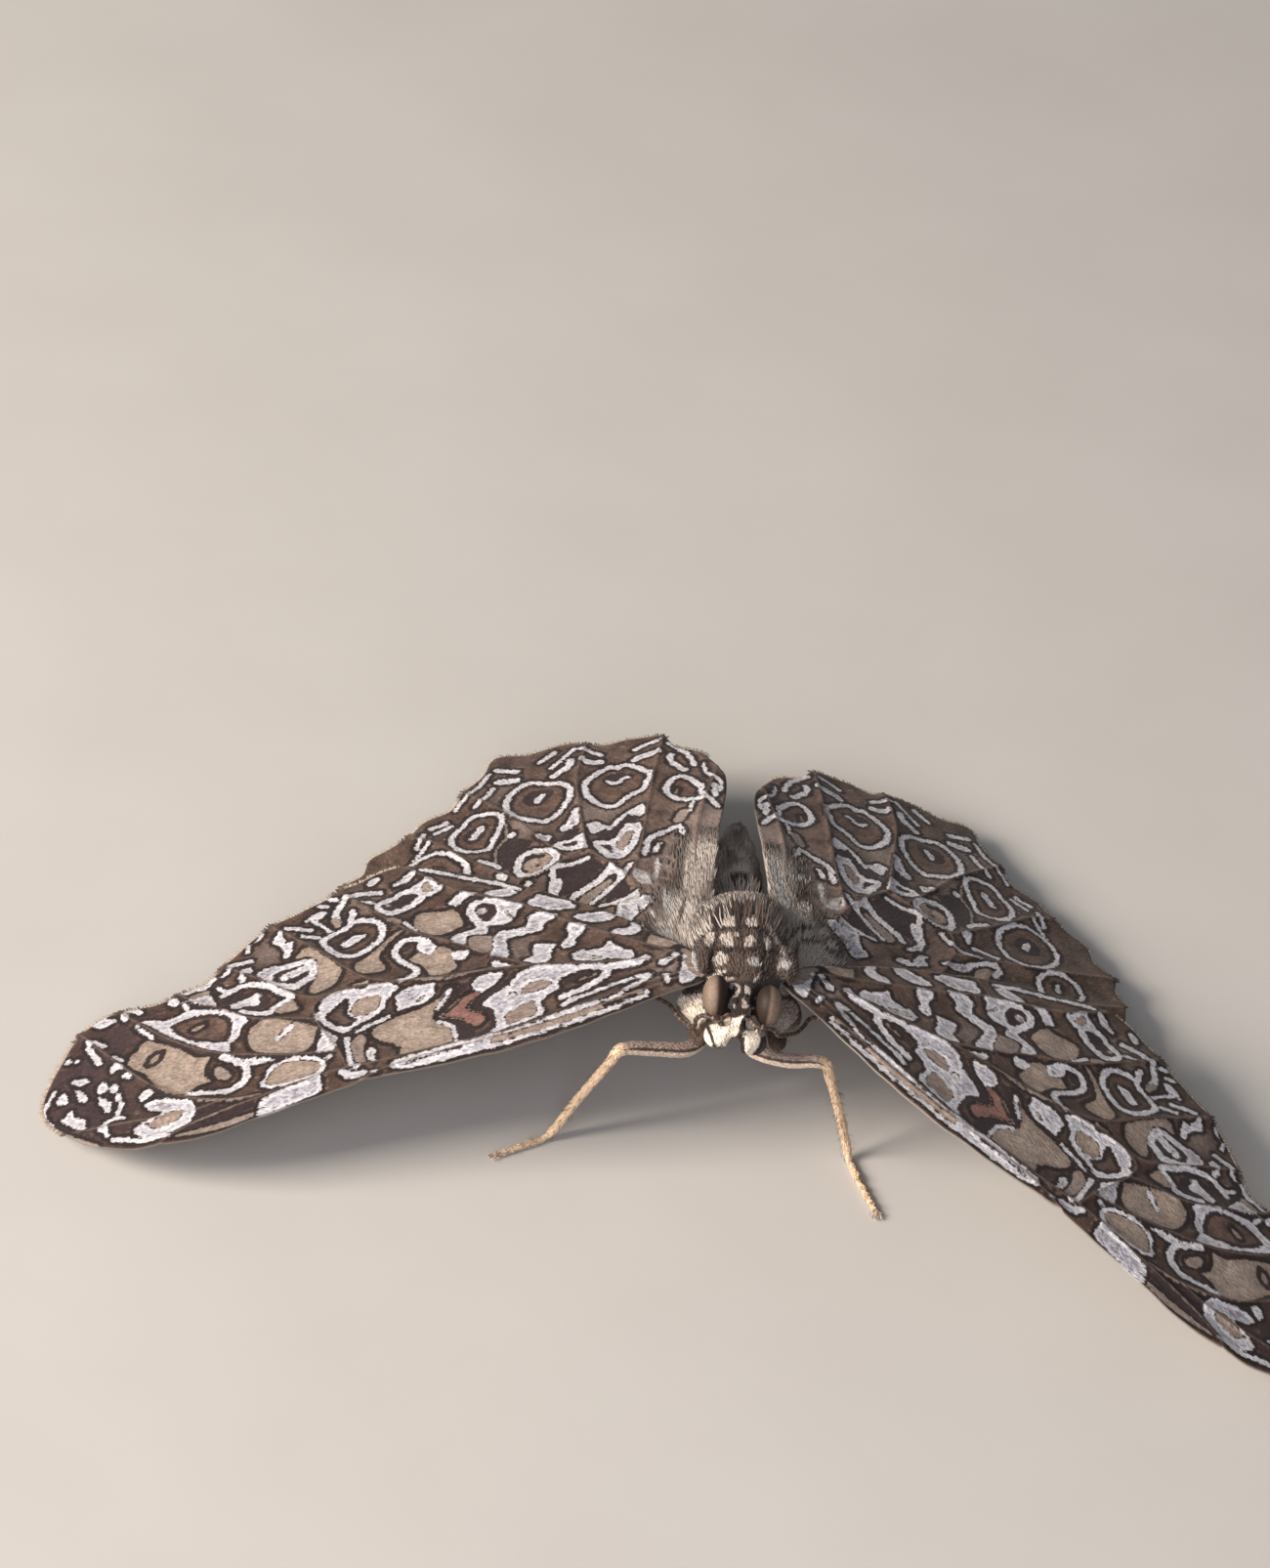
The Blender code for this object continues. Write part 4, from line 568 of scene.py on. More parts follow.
# %% The marks of the hindwing
HINDWING_MARKS = """
white .5 3.7 -1.1 4.4 -1.1
grey .5 5 -1.6 6.2 -2.4 7.3 -3.6
grey - 7.1 -1.5 7.4 -1.1 8 -.6 8.6 -.9 8.5 -2 8.3 -2.3 7.8 -2
dark - 9.3 -.3 9.6 -.7 9.95 -2 9.9 -2.7 9.3 -2.5 8.6 -2.1 8.8 -1.5 9 -.9
white .25 9.2 0 8.6 -1 8.4 -2.2
white - 7.3 -2.6 7.8 -2.1 8 -1.3 8.7 -.9 8 -.4 7.7 .2 7.6 1 6.9 1 6.3 .8 6.7 -.1 6.9 -.8 6.8 -1.6 6.9 -2.2
grey - 4.9 -1.6 5.3 -1.9 6 -1.9 6.3 -1.3 5.7 -1 5.9 -.5 6.2 .3 5.8 .7 5.2 .3 4.9 -.3 5 -.8
dark .35 5.7 -1.4
dark .3 4.7 .1
grey - 8.3 -3.3 8.9 -3 9.8 -3.2 10.2 -3.9 9.3 -4 9.1 -4.5 9.8 -5 10.2 -5.6 9.7 -5.5 9 -4.7 8.6 -4
white .25 10.5 -3.4 10.8 -4
white .3 10.7 -5.9 11.1 -6.6
white .3 10.9 -5.2 11.5 -6
white .4 11.05 .75 11.25 .3 11.25 -.6 11.2 -1.6 11.4 -2.6 11.6 -3.1
white .3 9.9 .2 9.95 -.5 10.1 -1.4 10.15 -2.2 10.3 -3
white - 10.2 -2.4 10.8 -2.8 11.1 -2.3 11.6 -3.1 10.2 -3.15
fawn - 10.2 .7 10.8 .4 10.95 -.6 10.9 -1.6 10.8 -2.3 10.4 -2.2 10.3 -1.2 10.15 -.4 9.9 .4
dark - 11.9 .8 12.2 .6 12.7 .1 13.5 -.3 14.1 -.9 13.9 -1.4 13.4 -2.1 13.2 -3 11.9 -3 11.8 -2 11.6 -1
 11.5 0
white .3 12.3 .9 12.9 .6 13.3 .1 13.9 -.4 14.3 -.8 14 -1.4 13.6 -2.1 13.4 -2.8
white - 13.5 -.5 12.6 0 12.3 .7 12.4 1.1 11.4 1.4 10.4 1.4 11.5 1.9 12.5 1.5 13.1 .5
white - 9.1 1.8 9.8 1.95 10 2.6 11 2.1 11.6 2.4 11.1 2.6 10.8 3.1 10.3 3 9.6 2.7 9.2 2.2
white .35 14.4 1.1 14.2 1.8 14.2 2.6 14.6 3.2 15.1 3.8
white - 15.9 1.4 16.7 1.8 16.2 2.1 15.5 2.6 15.7 2
white .3 15.6 2.9 16 3.5 16.5 4.2
tan - 13.9 4.5 14.9 4.6 15.2 5 14.6 5.3 13.8 5.6 13.2 5.4 13.3 4.9
white .35 12 3.5 13.2 4 14.7 4.2 15.6 4.6 15.7 5.1 14.9 5.4
white - 12 3.4 12.9 3.7 13.9 4 13.6 4.5 12.7 4.3 12.2 4
tan - 14.7 .3 14.9 .7 15.4 .9 15.9 .7 16.3 .3 16.8 -.2 16.9 -.9 16.6 -1.5 16 -1.8 15.3 -1.9 14.9 -1.6
 14.7 -.8 14.6 -.2
dark .25 15.4 -.5
dark .3 15.5 .4 15.9 .5 16.5 -.1 16.4 -.9 15.9 -1.3
white .4 14.7 .3 14.9 .7 15.4 .9 15.9 .7 16.3 .3 16.8 -.2 16.9 -.9 16.6 -1.5 16 -1.8 15.3 -1.9 14.9 -1.6
 14.7 -.8 14.6 -.2 14.7 .3
dark - 16.2 1 17.2 .8 18 .4 18.7 -.2 19 -.9 18.8 -1.5 18.3 -1.9 17.4 -2 17.1 -1.2 17.1 -.3 16.7 .5
white .3 17 1.15 17.8 1.15 18.6 1.45
fawn .25 17.7 .9 18.7 .1 19.1 -.7 19.2 -1.4 20.3 -2.2
white .5 19.2 -1.7
white - 14.1 -3.4 14.6 -3 15.2 -2.5 15.9 -2.2 16.1 -2.5 16.1 -3 15.8 -3.4 15.6 -4.3 15.2 -4.2 14.7 -3.9
dark - 14.9 -3.4 15.3 -2.9 15.7 -2.7 15.8 -2.9 15.5 -3.4 15.3 -3.8
dark - 16.2 -2.5 16.5 -3.2 16.7 -3.8 16.6 -4.4 16.3 -4.8 15.9 -4.5 15.7 -4 16 -3.4
white - 16.65 -2.4 17 -2.3 17.6 -2.3 17.9 -2.7 17.4 -2.8 17.2 -3.1 16.9 -3
white - 11.7 -4.3 12 -3.8 12.5 -3.6 13.3 -3.65 14 -3.9 14.45 -4.2 14.2 -4.6 13.7 -4.9 13.8 -5.5 14.1 -6.3
 14.35 -6.8 14 -7 13.6 -7.35 13.2 -7.1 12.7 -6.5 12.2 -5.8 11.9 -5.2 11.8 -4.7
dark - 12.6 -4.1 13.3 -4.2 13.8 -4.1 13.9 -4.3 13.4 -4.7 13.1 -4.6 12.8 -4.4
fawn - 12.3 -4.7 12.8 -4.6 13.3 -5 13.6 -5.8 13.7 -6.4 13.4 -6.6 13.1 -6.4 12.7 -5.7 12.4 -5.2
dark - 13.9 -4.9 14.5 -4.5 14.95 -4.9 14.7 -5.7 14.6 -6.6 14.9 -7.2 14.2 -7.8 13.8 -7.6 14.4 -6.9 14.2 -6
white - 15 -4.8 15.5 -4.85 16.1 -5.2 16.1 -5.5 15.9 -5.9 15.3 -5.9 15 -6
grey .25 15.65 -5.5
white .25 14.8 -5.8 14.9 -6.5 15.1 -7.5
white - 14 -8 14.6 -7.7 15.1 -7.6 15.2 -8.3 15 -8.9 14.6 -8.7 14.2 -8.3
grey .25 14.8 -8.3
white - 16.6 -4.9 16.7 -4.2 16.9 -3.9 17.3 -4 17.3 -4.6 17.6 -5.2 18.1 -5.9 17.9 -6.1 17.3 -5.6 16.8 -5.2
white .35 11.6 -6 11.9 -6.6 11.85 -7.3 11.75 -8.2 11.6 -8.7
white .3 11.5 -8.7 10.6 -8.2
fawn .8 12.1 -9.2 12.4 -9.9
white .2 12.2 -10.2 12.7 -11
brown - 17.4 -11.7 16.9 -11.2 16.5 -10.6 16.2 -9.9 16.5 -9.3 16.45 -8.6 16.3 -8 16.5 -7.6 17.2 -7.3
 18 -7.3 18.8 -7.5 19.4 -8 19.9 -8.7 20 -9.5 20 -10.7 19.5 -10.9 19.5 -11.4 19 -11.6 18.3 -11.6 17.7 -11.5
dark - 18.2 -9.3 18.9 -9 19.4 -9.4 19.4 -10.2 18.9 -10.8 18.3 -10.8 17.8 -10.2
white .35 17.4 -11.7 16.9 -11.2 16.5 -10.6 16.2 -9.9 16.5 -9.3 16.45 -8.6 16.3 -8 16.5 -7.6 17.2 -7.3
 18 -7.3 18.8 -7.5 19.4 -8 19.9 -8.7 20 -9.5 20 -10.7 19.5 -10.9 19.5 -11.4 19 -11.6 18.3 -11.6 17.7 -11.5
 17.4 -11.7
white .25 18.8 -9.5 18.4 -9.4 18.15 -9.7 18.25 -10.2 18.1 -10.5
brown - 20.8 -3.1 20 -3.2 19.2 -3.5 18.6 -3.9 18.55 -4.6 18.8 -5.6 19.2 -6.5 19.8 -7.2 20.5 -7.5 21.2 -7.4
 22 -6.9 22.9 -6.3 22.8 -5.3 22.6 -4.5 22 -3.7 21.4 -3.3
dark - 20.7 -4.6 21.4 -4.5 21.9 -5 22 -5.8 21.5 -6.5 20.8 -6.7 20.3 -6.2 20.3 -5.2
white .35 20.8 -3.1 20 -3.2 19.2 -3.5 18.6 -3.9 18.55 -4.6 18.8 -5.6 19.2 -6.5 19.8 -7.2 20.5 -7.5
 21.2 -7.4 22 -6.9 22.9 -6.3 22.8 -5.3 22.6 -4.5 22 -3.7 21.4 -3.3 20.8 -3.1
white .4 20.75 -5.2 21 -5.8
brown - 19.2 .2 19.7 .9 20.2 1.3 21 1.4 21.8 1 22.3 .2 22.5 -.7 22.8 -1.3 22.7 -1.9 22.1 -2.5 21.4 -2.7
 20.7 -2.3 20.2 -1.6 19.8 -.8 19.4 -.2
dark - 20.6 .5 21.4 .5 21.8 -.1 21.9 -1 21.5 -1.6 21 -1.4 20.6 -.7 20.4 0
white .3 19.2 .2 19.7 .9 20.2 1.3 21 1.4 21.8 1 22.3 .2 22.5 -.7 22.8 -1.3 22.7 -1.9 22.1 -2.5 21.4 -2.7
 20.7 -2.3 20.2 -1.6 19.8 -.8 19.4 -.2 19.2 .2
white .4 20.95 -.1 21.4 -1.2
brown - 17.4 4.2 17.8 5.2 18.8 5.9 20.2 5.9 21.4 5.4 22 4.2 22 3.2 21.5 2.3 20.5 2 19.1 2.1 18 2.9
dark - 19.2 4.6 20.2 4.9 20.9 4.3 20.9 3.4 20.2 2.9 19.3 3.2 18.9 3.9
white .3 17.4 4.2 17.8 5.2 18.8 5.9 20.2 5.9 21.4 5.4 22 4.2 22 3.2 21.5 2.3 20.5 2 19.1 2.1 18 2.9
 17.4 4.2
white .4 19.7 4 20.1 3.7
brown - 17 7.6 17.4 8.7 18.5 9.3 19.8 8.9 20.3 7.8 20 6.8 19 6.3 17.8 6.6
white .3 17 7.6 17.4 8.7 18.5 9.3 19.8 8.9 20.3 7.8 20 6.8 19 6.3 17.8 6.6 17 7.6
white .35 18.4 7.9 18.8 7.5
brown - 12.4 -11.8 12.8 -11.3 13.2 -11 13.9 -10.7 14.6 -10.7 15.2 -10.9 15.5 -11.5 15.7 -12.1 15.6 -12.6
 15 -12.8 14.3 -12.7 13.4 -12.4 13.2 -12.1
white .35 12.4 -11.8 12.8 -11.3 13.2 -11 13.9 -10.7 14.6 -10.7 15.2 -10.9 15.5 -11.5 15.7 -12.1 15.6 -12.6
 15 -12.8 14.3 -12.7 13.4 -12.4 13.2 -12.1 12.4 -11.8
tan .2 14.4 -11.1 14.7 -11.5
white .3 11.3 -11.7 12.3 -11.9
white .3 12.2 -12.4 13.1 -13.1
white .2 12.3 -12.9 12.8 -13.5 13.4 -13.8 14.2 -13.7 15 -14.1 15.6 -14.6
white .35 15.9 -13.3 17.1 -13.3 17.6 -13.6 17.8 -13.9
white .3 15.9 -14.1 16.5 -14.4 17.3 -14.7 18.9 -14.8
white .5 19.3 -12.2 18.7 -13.6
white .3 20.2 -13 20.1 -13.9 19.6 -14.6
white .45 20.8 -10.6 21.3 -10.1 21.9 -10.1
white .3 21.4 -11.2 22.2 -11 23 -10.9
white .45 22.1 -7.8 22 -9 22.4 -9.6
white .3 22.9 -8.4 23.1 -9.5 23.3 -10.6
white .5 23.7 -6.1 24.5 -5.3
white .4 24.4 -6.8 25.6 -6.1
white .25 23.4 -2.4 23.7 -3.6 24.2 -4.6
white .25 24.3 -1.5 24.7 -2.8 25.1 -4.3 25.6 -5.5
white .3 23.3 1 23.2 -.2
white .3 24 .8 23.7 -.3
white .2 22.2 3.7 22.5 2.8 22.8 1.9
white .25 23 2.8 23.8 1.5
white .3 24 -8.3 24.2 -9.8
"""
print("hindwing marks:", len(marks_in(HINDWING_MARKS)))

# %% [markdown]
# ## Wings: from marks to numbers on the mesh
# A finely divided mesh could carry a colour at each point, but its edges would look blurred. Instead each
# point stores how far it is from the edge of each finish, less than zero inside. The material compares
# that with a little noise, so that an edge stays crisp and is ragged as rows of scales make it.

# %% Painting the marks as distances
FINISHES = ("white", "tan", "fawn", "dark", "brown", "red", "grey", "cream")
REACH = 1.0  # distances are kept exact to here


def rounded(corners, closed):
    """The corners cut off once, as a brush would round them."""
    if len(corners) < 3:
        return corners
    after = np.roll(corners, -1, 0) if closed else corners[1:]
    before = corners if closed else corners[:-1]
    cut = np.stack((0.8 * before + 0.2 * after, 0.2 * before + 0.8 * after), 1).reshape(-1, 2)
    return cut if closed else np.vstack((corners[:1], cut[1:-1], corners[-1:]))


def distance_to(places, line, closed):
    """How far each place is from a line of straight pieces."""
    start = line if closed or len(line) == 1 else line[:-1]
    end = np.roll(line, -1, 0) if closed or len(line) == 1 else line[1:]
    nearest = np.full(len(places), np.inf)
    for a, b in zip(start, end):
        along = b - a
        share = ((places - a) @ along) / max(along @ along, 1e-9)
        offset = places - a - np.clip(share, 0, 1)[:, None] * along
        nearest = np.minimum(nearest, np.hypot(*offset.T))
    return nearest


def is_inside(places, line):
    """Whether each place lies within a closed line."""
    odd = np.zeros(len(places), bool)
    for a, b in zip(line, np.roll(line, -1, 0)):
        if a[1] != b[1]:
            crosses = (a[1] > places[:, 1]) != (b[1] > places[:, 1])
            odd ^= crosses & (places[:, 0] < a[0] + (b[0] - a[0]) * (places[:, 1] - a[1]) / (b[1] - a[1]))
    return odd


def paint(places, text, unit_size=1.0):
    """For each finish, the signed distance of every place from its marks."""
    edges = {finish: np.full(len(places), REACH) for finish in FINISHES}
    for line in marks_in(text):
        finish, width, *numbers = line.split()
        corners = np.array(numbers, float).reshape(-1, 2) * unit_size
        filled = width == "-"
        outline = rounded(corners, filled)
        near = np.all((places > outline.min(0) - REACH) & (places < outline.max(0) + REACH), 1)
        signed = distance_to(places[near], outline, filled)
        if filled:
            signed[is_inside(places[near], outline)] *= -1
        else:
            signed -= float(width) / 2 * unit_size
        for other in FINISHES:
            if other == finish:
                edges[other][near] = np.minimum(edges[other][near], signed)
            else:
                edges[other][near] = np.maximum(edges[other][near], np.minimum(-signed, REACH))
    return edges


print("finishes:", FINISHES)

# %% [markdown]
# ## Wings: the sheet itself
# A wing is a double skin stretched over hollow veins, a tenth of a millimetre thick. The flat outline is
# filled with an even net of triangles, lifted along the veins and let sink a little between them, then
# given its two faces. It is made in mesh code because no primitive starts near this shape.

# %% The net of a flat wing
NET = 0.15
SHEET = 0.16  # thickness
VEIN_RISE = 0.13
VEIN_WIDTH = 0.16
SAG = 0.16  # depth of the hollow between veins
SAG_WIDTH = 1.1
WAVE = 0.05
RELIEF_LIFT = 0.09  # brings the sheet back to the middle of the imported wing
FORE_PHASE = 0.0  # where the soft waves start
HIND_PHASE = 1.7


def flat_net(outline_text, veins_text):
    """Points and triangles of the flat wing, its rim, and each point's distance from the veins."""
    rim = smooth_line(pairs(outline_text), True, NET)
    if np.sum(rim[:, 0] * np.roll(rim[:, 1], -1) - np.roll(rim[:, 0], -1) * rim[:, 1]) < 0:
        rim = rim[::-1]
    low, high = rim.min(0), rim.max(0)
    rows = np.arange(low[1], high[1], NET * math.sqrt(3) / 2)
    grid = []
    for j, y in enumerate(rows):
        xs = np.arange(low[0] + 0.5 * NET * (j % 2), high[0], NET)
        grid.append(np.column_stack((xs, np.full(len(xs), y))))
    grid = np.vstack(grid)
    grid = grid[is_inside(grid, rim)]
    grid = grid[distance_to(grid, rim[::2], True) > 0.45 * NET]
    places = np.vstack((rim, grid))
    loop = [list(range(len(rim)))]
    flat, _, faces, _, _, _ = delaunay_2d_cdt([Vector(p) for p in places], [], loop, 1, 1e-6)
    flat = np.array([tuple(p) for p in flat])
    lines = [smooth_line(pairs(line), False, 0.4) for line in veins_text.strip().splitlines()]
    vein = np.min([distance_to(flat, line, False) for line in lines], 0)
    return flat, np.array(faces), len(rim), vein


def sheet_relief(flat, vein, phase):
    """Height of the sheet above the smooth wing: ridges on veins, hollows and soft waves between."""
    x, y = flat.T
    ridge = VEIN_RISE * np.exp(-((vein / VEIN_WIDTH) ** 2))
    hollow = -SAG * (1 - np.exp(-((vein / SAG_WIDTH) ** 2)))
    waves = WAVE * np.sin(1.9 * x + 0.7 * np.sin(0.9 * y + phase)) * np.sin(1.3 * y + 0.4 * x + phase)
    return ridge + hollow + RELIEF_LIFT + waves * np.clip(vein, 0, 1)


def dress_wing(name, net, place, edges, tones, uv_top, uv_under, material, phase):
    """One wing from its net: two faces, a rim, its numbers for the material and its bake map."""
    flat, triangles, rim, vein = net
    relief = sheet_relief(flat, vein, phase)
    top = place(flat, relief + SHEET / 2)
    under = place(flat, relief - SHEET / 2)
    count = len(flat)
    ring = np.arange(rim)
    after = np.roll(ring, -1)
    walls = np.column_stack((ring + count, after + count, after, ring))
    faces = [*triangles, *(triangles[:, ::-1] + count), *walls]
    a, b, c = top[triangles[0]]
    if np.cross(b - a, c - a)[2] < 0:
        faces = [face[::-1] for face in faces]
    points = np.vstack((top, under))
    points[:, 2] = np.maximum(points[:, 2], FLOOR_GAP)
    obj = add_mesh(name, points, faces, material)
    for finish in FINISHES:
        add_values(obj, finish, np.tile(edges[finish], 2))
    for tone_name, values in tones.items():
        add_values(obj, tone_name, np.tile(values, 2))
    add_values(obj, "vein", np.tile(vein, 2))
    add_values(obj, "under", np.repeat((0.0, 1.0), count))
    plan = obj.data.attributes.new("plan", "FLOAT_VECTOR", "POINT")
    spread = np.column_stack((np.tile(flat, (2, 1)), np.repeat((0.0, 40.0), count)))
    plan.data.foreach_set("vector", spread.astype(np.float32).ravel())
    corner = np.empty(len(obj.data.loops), np.int32)
    obj.data.loops.foreach_get("vertex_index", corner)
    loops_per_face = np.empty(len(obj.data.polygons), np.int32)
    obj.data.polygons.foreach_get("loop_total", loops_per_face)
    below = np.repeat(np.arange(len(loops_per_face)) >= len(triangles), loops_per_face)
    below &= np.repeat(np.arange(len(loops_per_face)) < 2 * len(triangles), loops_per_face)
    place_on = flat[corner % count]
    uv = np.where(below[:, None], uv_under(place_on), uv_top(place_on))
    bake = obj.data.uv_layers.new(name="OFBake")
    bake.data.foreach_set("uv", uv.astype(np.float32).ravel())
    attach(obj, "root")
    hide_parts(name.removeprefix("scaled_"))
    print(name, len(obj.data.polygons), "faces")


FORE_NET = flat_net(FOREWING_OUTLINE, FOREWING_VEINS)
HIND_NET = flat_net(HINDWING_OUTLINE, HINDWING_VEINS)
FORE_EDGES = paint(FORE_NET[0], FOREWING_MARKS)
HIND_EDGES = paint(HIND_NET[0], HINDWING_MARKS)
print("points:", len(FORE_NET[0]), len(HIND_NET[0]))

# %% [markdown]
# ## Finish: butterfly wing scales
# The colour sits in dust-like scales, each about a tenth of a millimetre long, in rows across the wing
# like roof tiles. They are matt, so the surface is rough with hardly any gloss. The ground is taupe
# brown, warmer to the tip and greyer at the root. Each light mark has a thin dark outline, and its edge
# is ragged by about one scale. The scales are drawn twice as coarse as real ones, so that they show.


# %% The wing finish
def wing_finish(name, root_x, tip_x, root_tone, tip_tone):
    """Wing scales whose pattern comes from the distances stored on the mesh."""
    material, tree, shader = new_finish(name, 0.78, 0.25)
    plan = add_node(tree, "ShaderNodeAttribute", attribute_name="plan").outputs["Vector"]
    rows = add_node(tree, "ShaderNodeMapping", {"Vector": plan, "Scale": (4.2, 8.5, 1.0)}).outputs[0]
    scales = add_node(tree, "ShaderNodeTexVoronoi", {"Vector": rows, "Scale": 1.0})
    scale_value = cell_tone(tree, scales)
    ragged = noise(tree, rows, 0.6, 5.0, 0.72)
    blotch = noise(tree, plan, 0.55, 5.0)
    clouds = noise(tree, plan, 1.6, 4.0, 0.65)
    specks = noise(tree, rows, 0.33, 3.0, 0.7)
    jitter = maths(tree, "MULTIPLY_ADD", ragged, 0.36, -0.18)
    jitter = maths(tree, "MULTIPLY_ADD", scale_value, 0.09, jitter)
    steps = maths(tree, "MULTIPLY_ADD", noise(tree, plan, 2.1, 3.0, 0.6), 0.44, -0.28)
    jagged = maths(tree, "ADD", jitter, steps)

    def share_of(finish, edge=jitter):
        return ramp(tree, maths(tree, "ADD", read(tree, finish), edge), 0.05, -0.05)

    # Ground: taupe, warmer towards the tip, with clouds of darker and paler scales.
    along = add_node(tree, "ShaderNodeSeparateXYZ", {0: plan}).outputs[0]
    ground = mixed(tree, ramp(tree, along, root_x, tip_x), root_tone, tip_tone)
    ground = mixed(tree, maths(tree, "MULTIPLY", ramp(tree, blotch, 0.4, 0.68), 0.85), ground, "#36271f")
    ground = mixed(tree, ramp(tree, clouds, 0.56, 0.76), ground, "#7d6b61")
    ground = mixed(tree, read(tree, "deep"), ground, "#33262a")
    ground = mixed(tree, read(tree, "pale"), ground, "#9a8d86")

    # Dark lines follow every light mark, on both sides of a thin ring.
    brown = mixed(tree, ramp(tree, clouds, 0.35, 0.65), "#46352e", "#604c42")
    colour = mixed(tree, share_of("brown"), ground, brown)
    light = maths(tree, "MINIMUM", read(tree, "white"), read(tree, "tan"))
    light = maths(tree, "MINIMUM", light, read(tree, "red"))
    light = maths(tree, "MINIMUM", light, maths(tree, "ADD", read(tree, "fawn"), 0.08))
    outline = ramp(tree, maths(tree, "ADD", light, jitter), 0.44, 0.24)
    outline = maths(tree, "MULTIPLY", outline, ramp(tree, blotch, -0.05, 0.4))
    colour = mixed(tree, maths(tree, "MULTIPLY", outline, 0.95), colour, "#1f1615")
    colour = mixed(tree, share_of("dark"), colour, mixed(tree, blotch, "#1f1616", "#3a2c2e"))
    tan = mixed(tree, ramp(tree, clouds, 0.35, 0.65), "#7c6c61", "#928276")
    inner = maths(tree, "MULTIPLY", ramp(tree, read(tree, "tan"), -0.15, -0.7), 0.4)
    colour = mixed(tree, share_of("tan"), colour, mixed(tree, inner, tan, "#9b8c80"))
    colour = mixed(tree, share_of("fawn"), colour, mixed(tree, clouds, "#6c5d55", "#90827a"))
    grey = mixed(tree, ramp(tree, clouds, 0.35, 0.65), "#7a7471", "#bab6b4")
    colour = mixed(tree, share_of("grey", jagged), colour, grey)
    colour = mixed(tree, share_of("red"), colour, mixed(tree, clouds, "#684840", "#86645b"))

    # White marks are brightest along their edge, and mottled with grey-brown scales inside.
    white = mixed(tree, ramp(tree, clouds, 0.3, 0.7), "#aeabaf", "#c9c6c8")
    inner = ramp(tree, maths(tree, "ADD", read(tree, "white"), jagged), -0.1, -0.34)
    white = mixed(tree, maths(tree, "MULTIPLY", inner, 0.8), white, "#a09ea6")
    mottle = maths(tree, "MULTIPLY", ramp(tree, specks, 0.5, 0.6), inner)
    white = mixed(tree, maths(tree, "MULTIPLY", mottle, 0.7), white, "#6d6266")
    colour = mixed(tree, share_of("white", jagged), colour, white)

    # Veins carry ground-coloured scales across the marks.
    vein = maths(tree, "MULTIPLY_ADD", jitter, 0.5, read(tree, "vein"))
    on_vein = maths(tree, "MULTIPLY", ramp(tree, vein, 0.14, 0.05), 0.6)
    colour = mixed(tree, on_vein, colour, "#6b5950")
    # The underside is washed out: cream, with the same marks in weak brown.
    colour = mixed(tree, read(tree, "under"), colour, mixed(tree, 0.55, colour, "#d9cdbd"))
    # Every scale has its own tone.
    colour = mixed(tree, 0.26, colour, mixed(tree, scale_value, "#000000", "#ffffff"), "OVERLAY")
    tree.links.new(colour, shader.inputs["Base Color"])
    tilt = ramp(tree, scales.outputs["Distance"], 0.0, 0.8)
    set_bump(tree, shader, tilt, 0.45, 0.00005)
    tree.links.new(maths(tree, "MULTIPLY_ADD", scale_value, 0.16, 0.68), shader.inputs["Roughness"])
    shader.inputs["Sheen Weight"].default_value = 0.08
    shader.inputs["Sheen Roughness"].default_value = 0.45
    return material


FORE_SCALES = wing_finish("forewing_scales_in_rows", 4.0, 34.0, "#56443b", "#48342b")
HIND_SCALES = wing_finish("hindwing_scales_in_rows", 6.0, 24.0, "#67554d", "#58463d")
print("wing finishes ready")

# %% [markdown]
# Broad differences in tone, such as the dark tip and the pale ground between some marks, are dabbed on
# as soft round spots: x, y, radius and strength on the flat wing.

# %% Soft dabs of tone, then the four wings
FORE_DEEP = """
35.5 -1.5 2.6 .9  35.5 -5 2.4 .85  33.6 -7 2 .8  31.5 -8.6 1.6 .5  36.5 -3 2 .8  28.5 1.8 1.5 .5
22.8 0 .6 .3  15.4 -11.8 1.2 .3  21.5 -9 1 .3  26 -6 1.2 .3  18.2 .4 .5 .5  11.6 -9.8 .8 .4
8.9 -6.9 .9 .4  5.5 -6 .8 .4  12 -5.4 .8 .4  4.4 -1.8 .8 .4  17.9 -5.9 .8 .3
"""
FORE_PALE = """
9.6 -6.1 .8 .3  17 -13.6 1 .3  23.5 -11 .9 .3  1.5 -1.6 .9 .4  19.2 -4.2 1 .2  27 -9.9 .7 .3
"""
HIND_DEEP = """
12.6 -1.2 1.2 .5  17.6 .1 1.2 .5  14.4 -5.8 1 .3  25.4 -7 1 .4  11.2 -1 .6 .3
"""
HIND_PALE = """
2.5 -1 2.5 .6  5.5 -4 2.2 .6  8.5 -7.4 2 .5  10.5 -10.4 1.6 .4  16.8 -6.8 1.2 .4  7.5 -1.6 1.6 .3
19 -2.6 .8 .3  24 -4.5 1 .2
"""


def dab(flat, text):
    """Soft round spots of tone as one number for each place."""
    total = np.zeros(len(flat))
    for x, y, radius, strength in np.array(text.split(), float).reshape(-1, 4):
        spread = np.hypot(flat[:, 0] - x, flat[:, 1] - y) / radius
        total = np.maximum(total, strength * np.exp(-((0.8 * spread) ** 2)))
    return total


MAP_SCALE = 0.0245  # bake map per millimetre, on both faces of the forewing and on top of the hindwing
UNDER_SCALE = 0.01  # and under the hindwing
FORE_CORNER = (-1.0, -16.6)  # a place on the flat wing that is beyond its lowest x and y
HIND_CORNER = (-0.5, -15.7)


def uv_from(scale, offset, corner):
    """A flat wing's places on the bake map, from where its corner goes."""
    return lambda flat: (flat - corner) * scale + offset


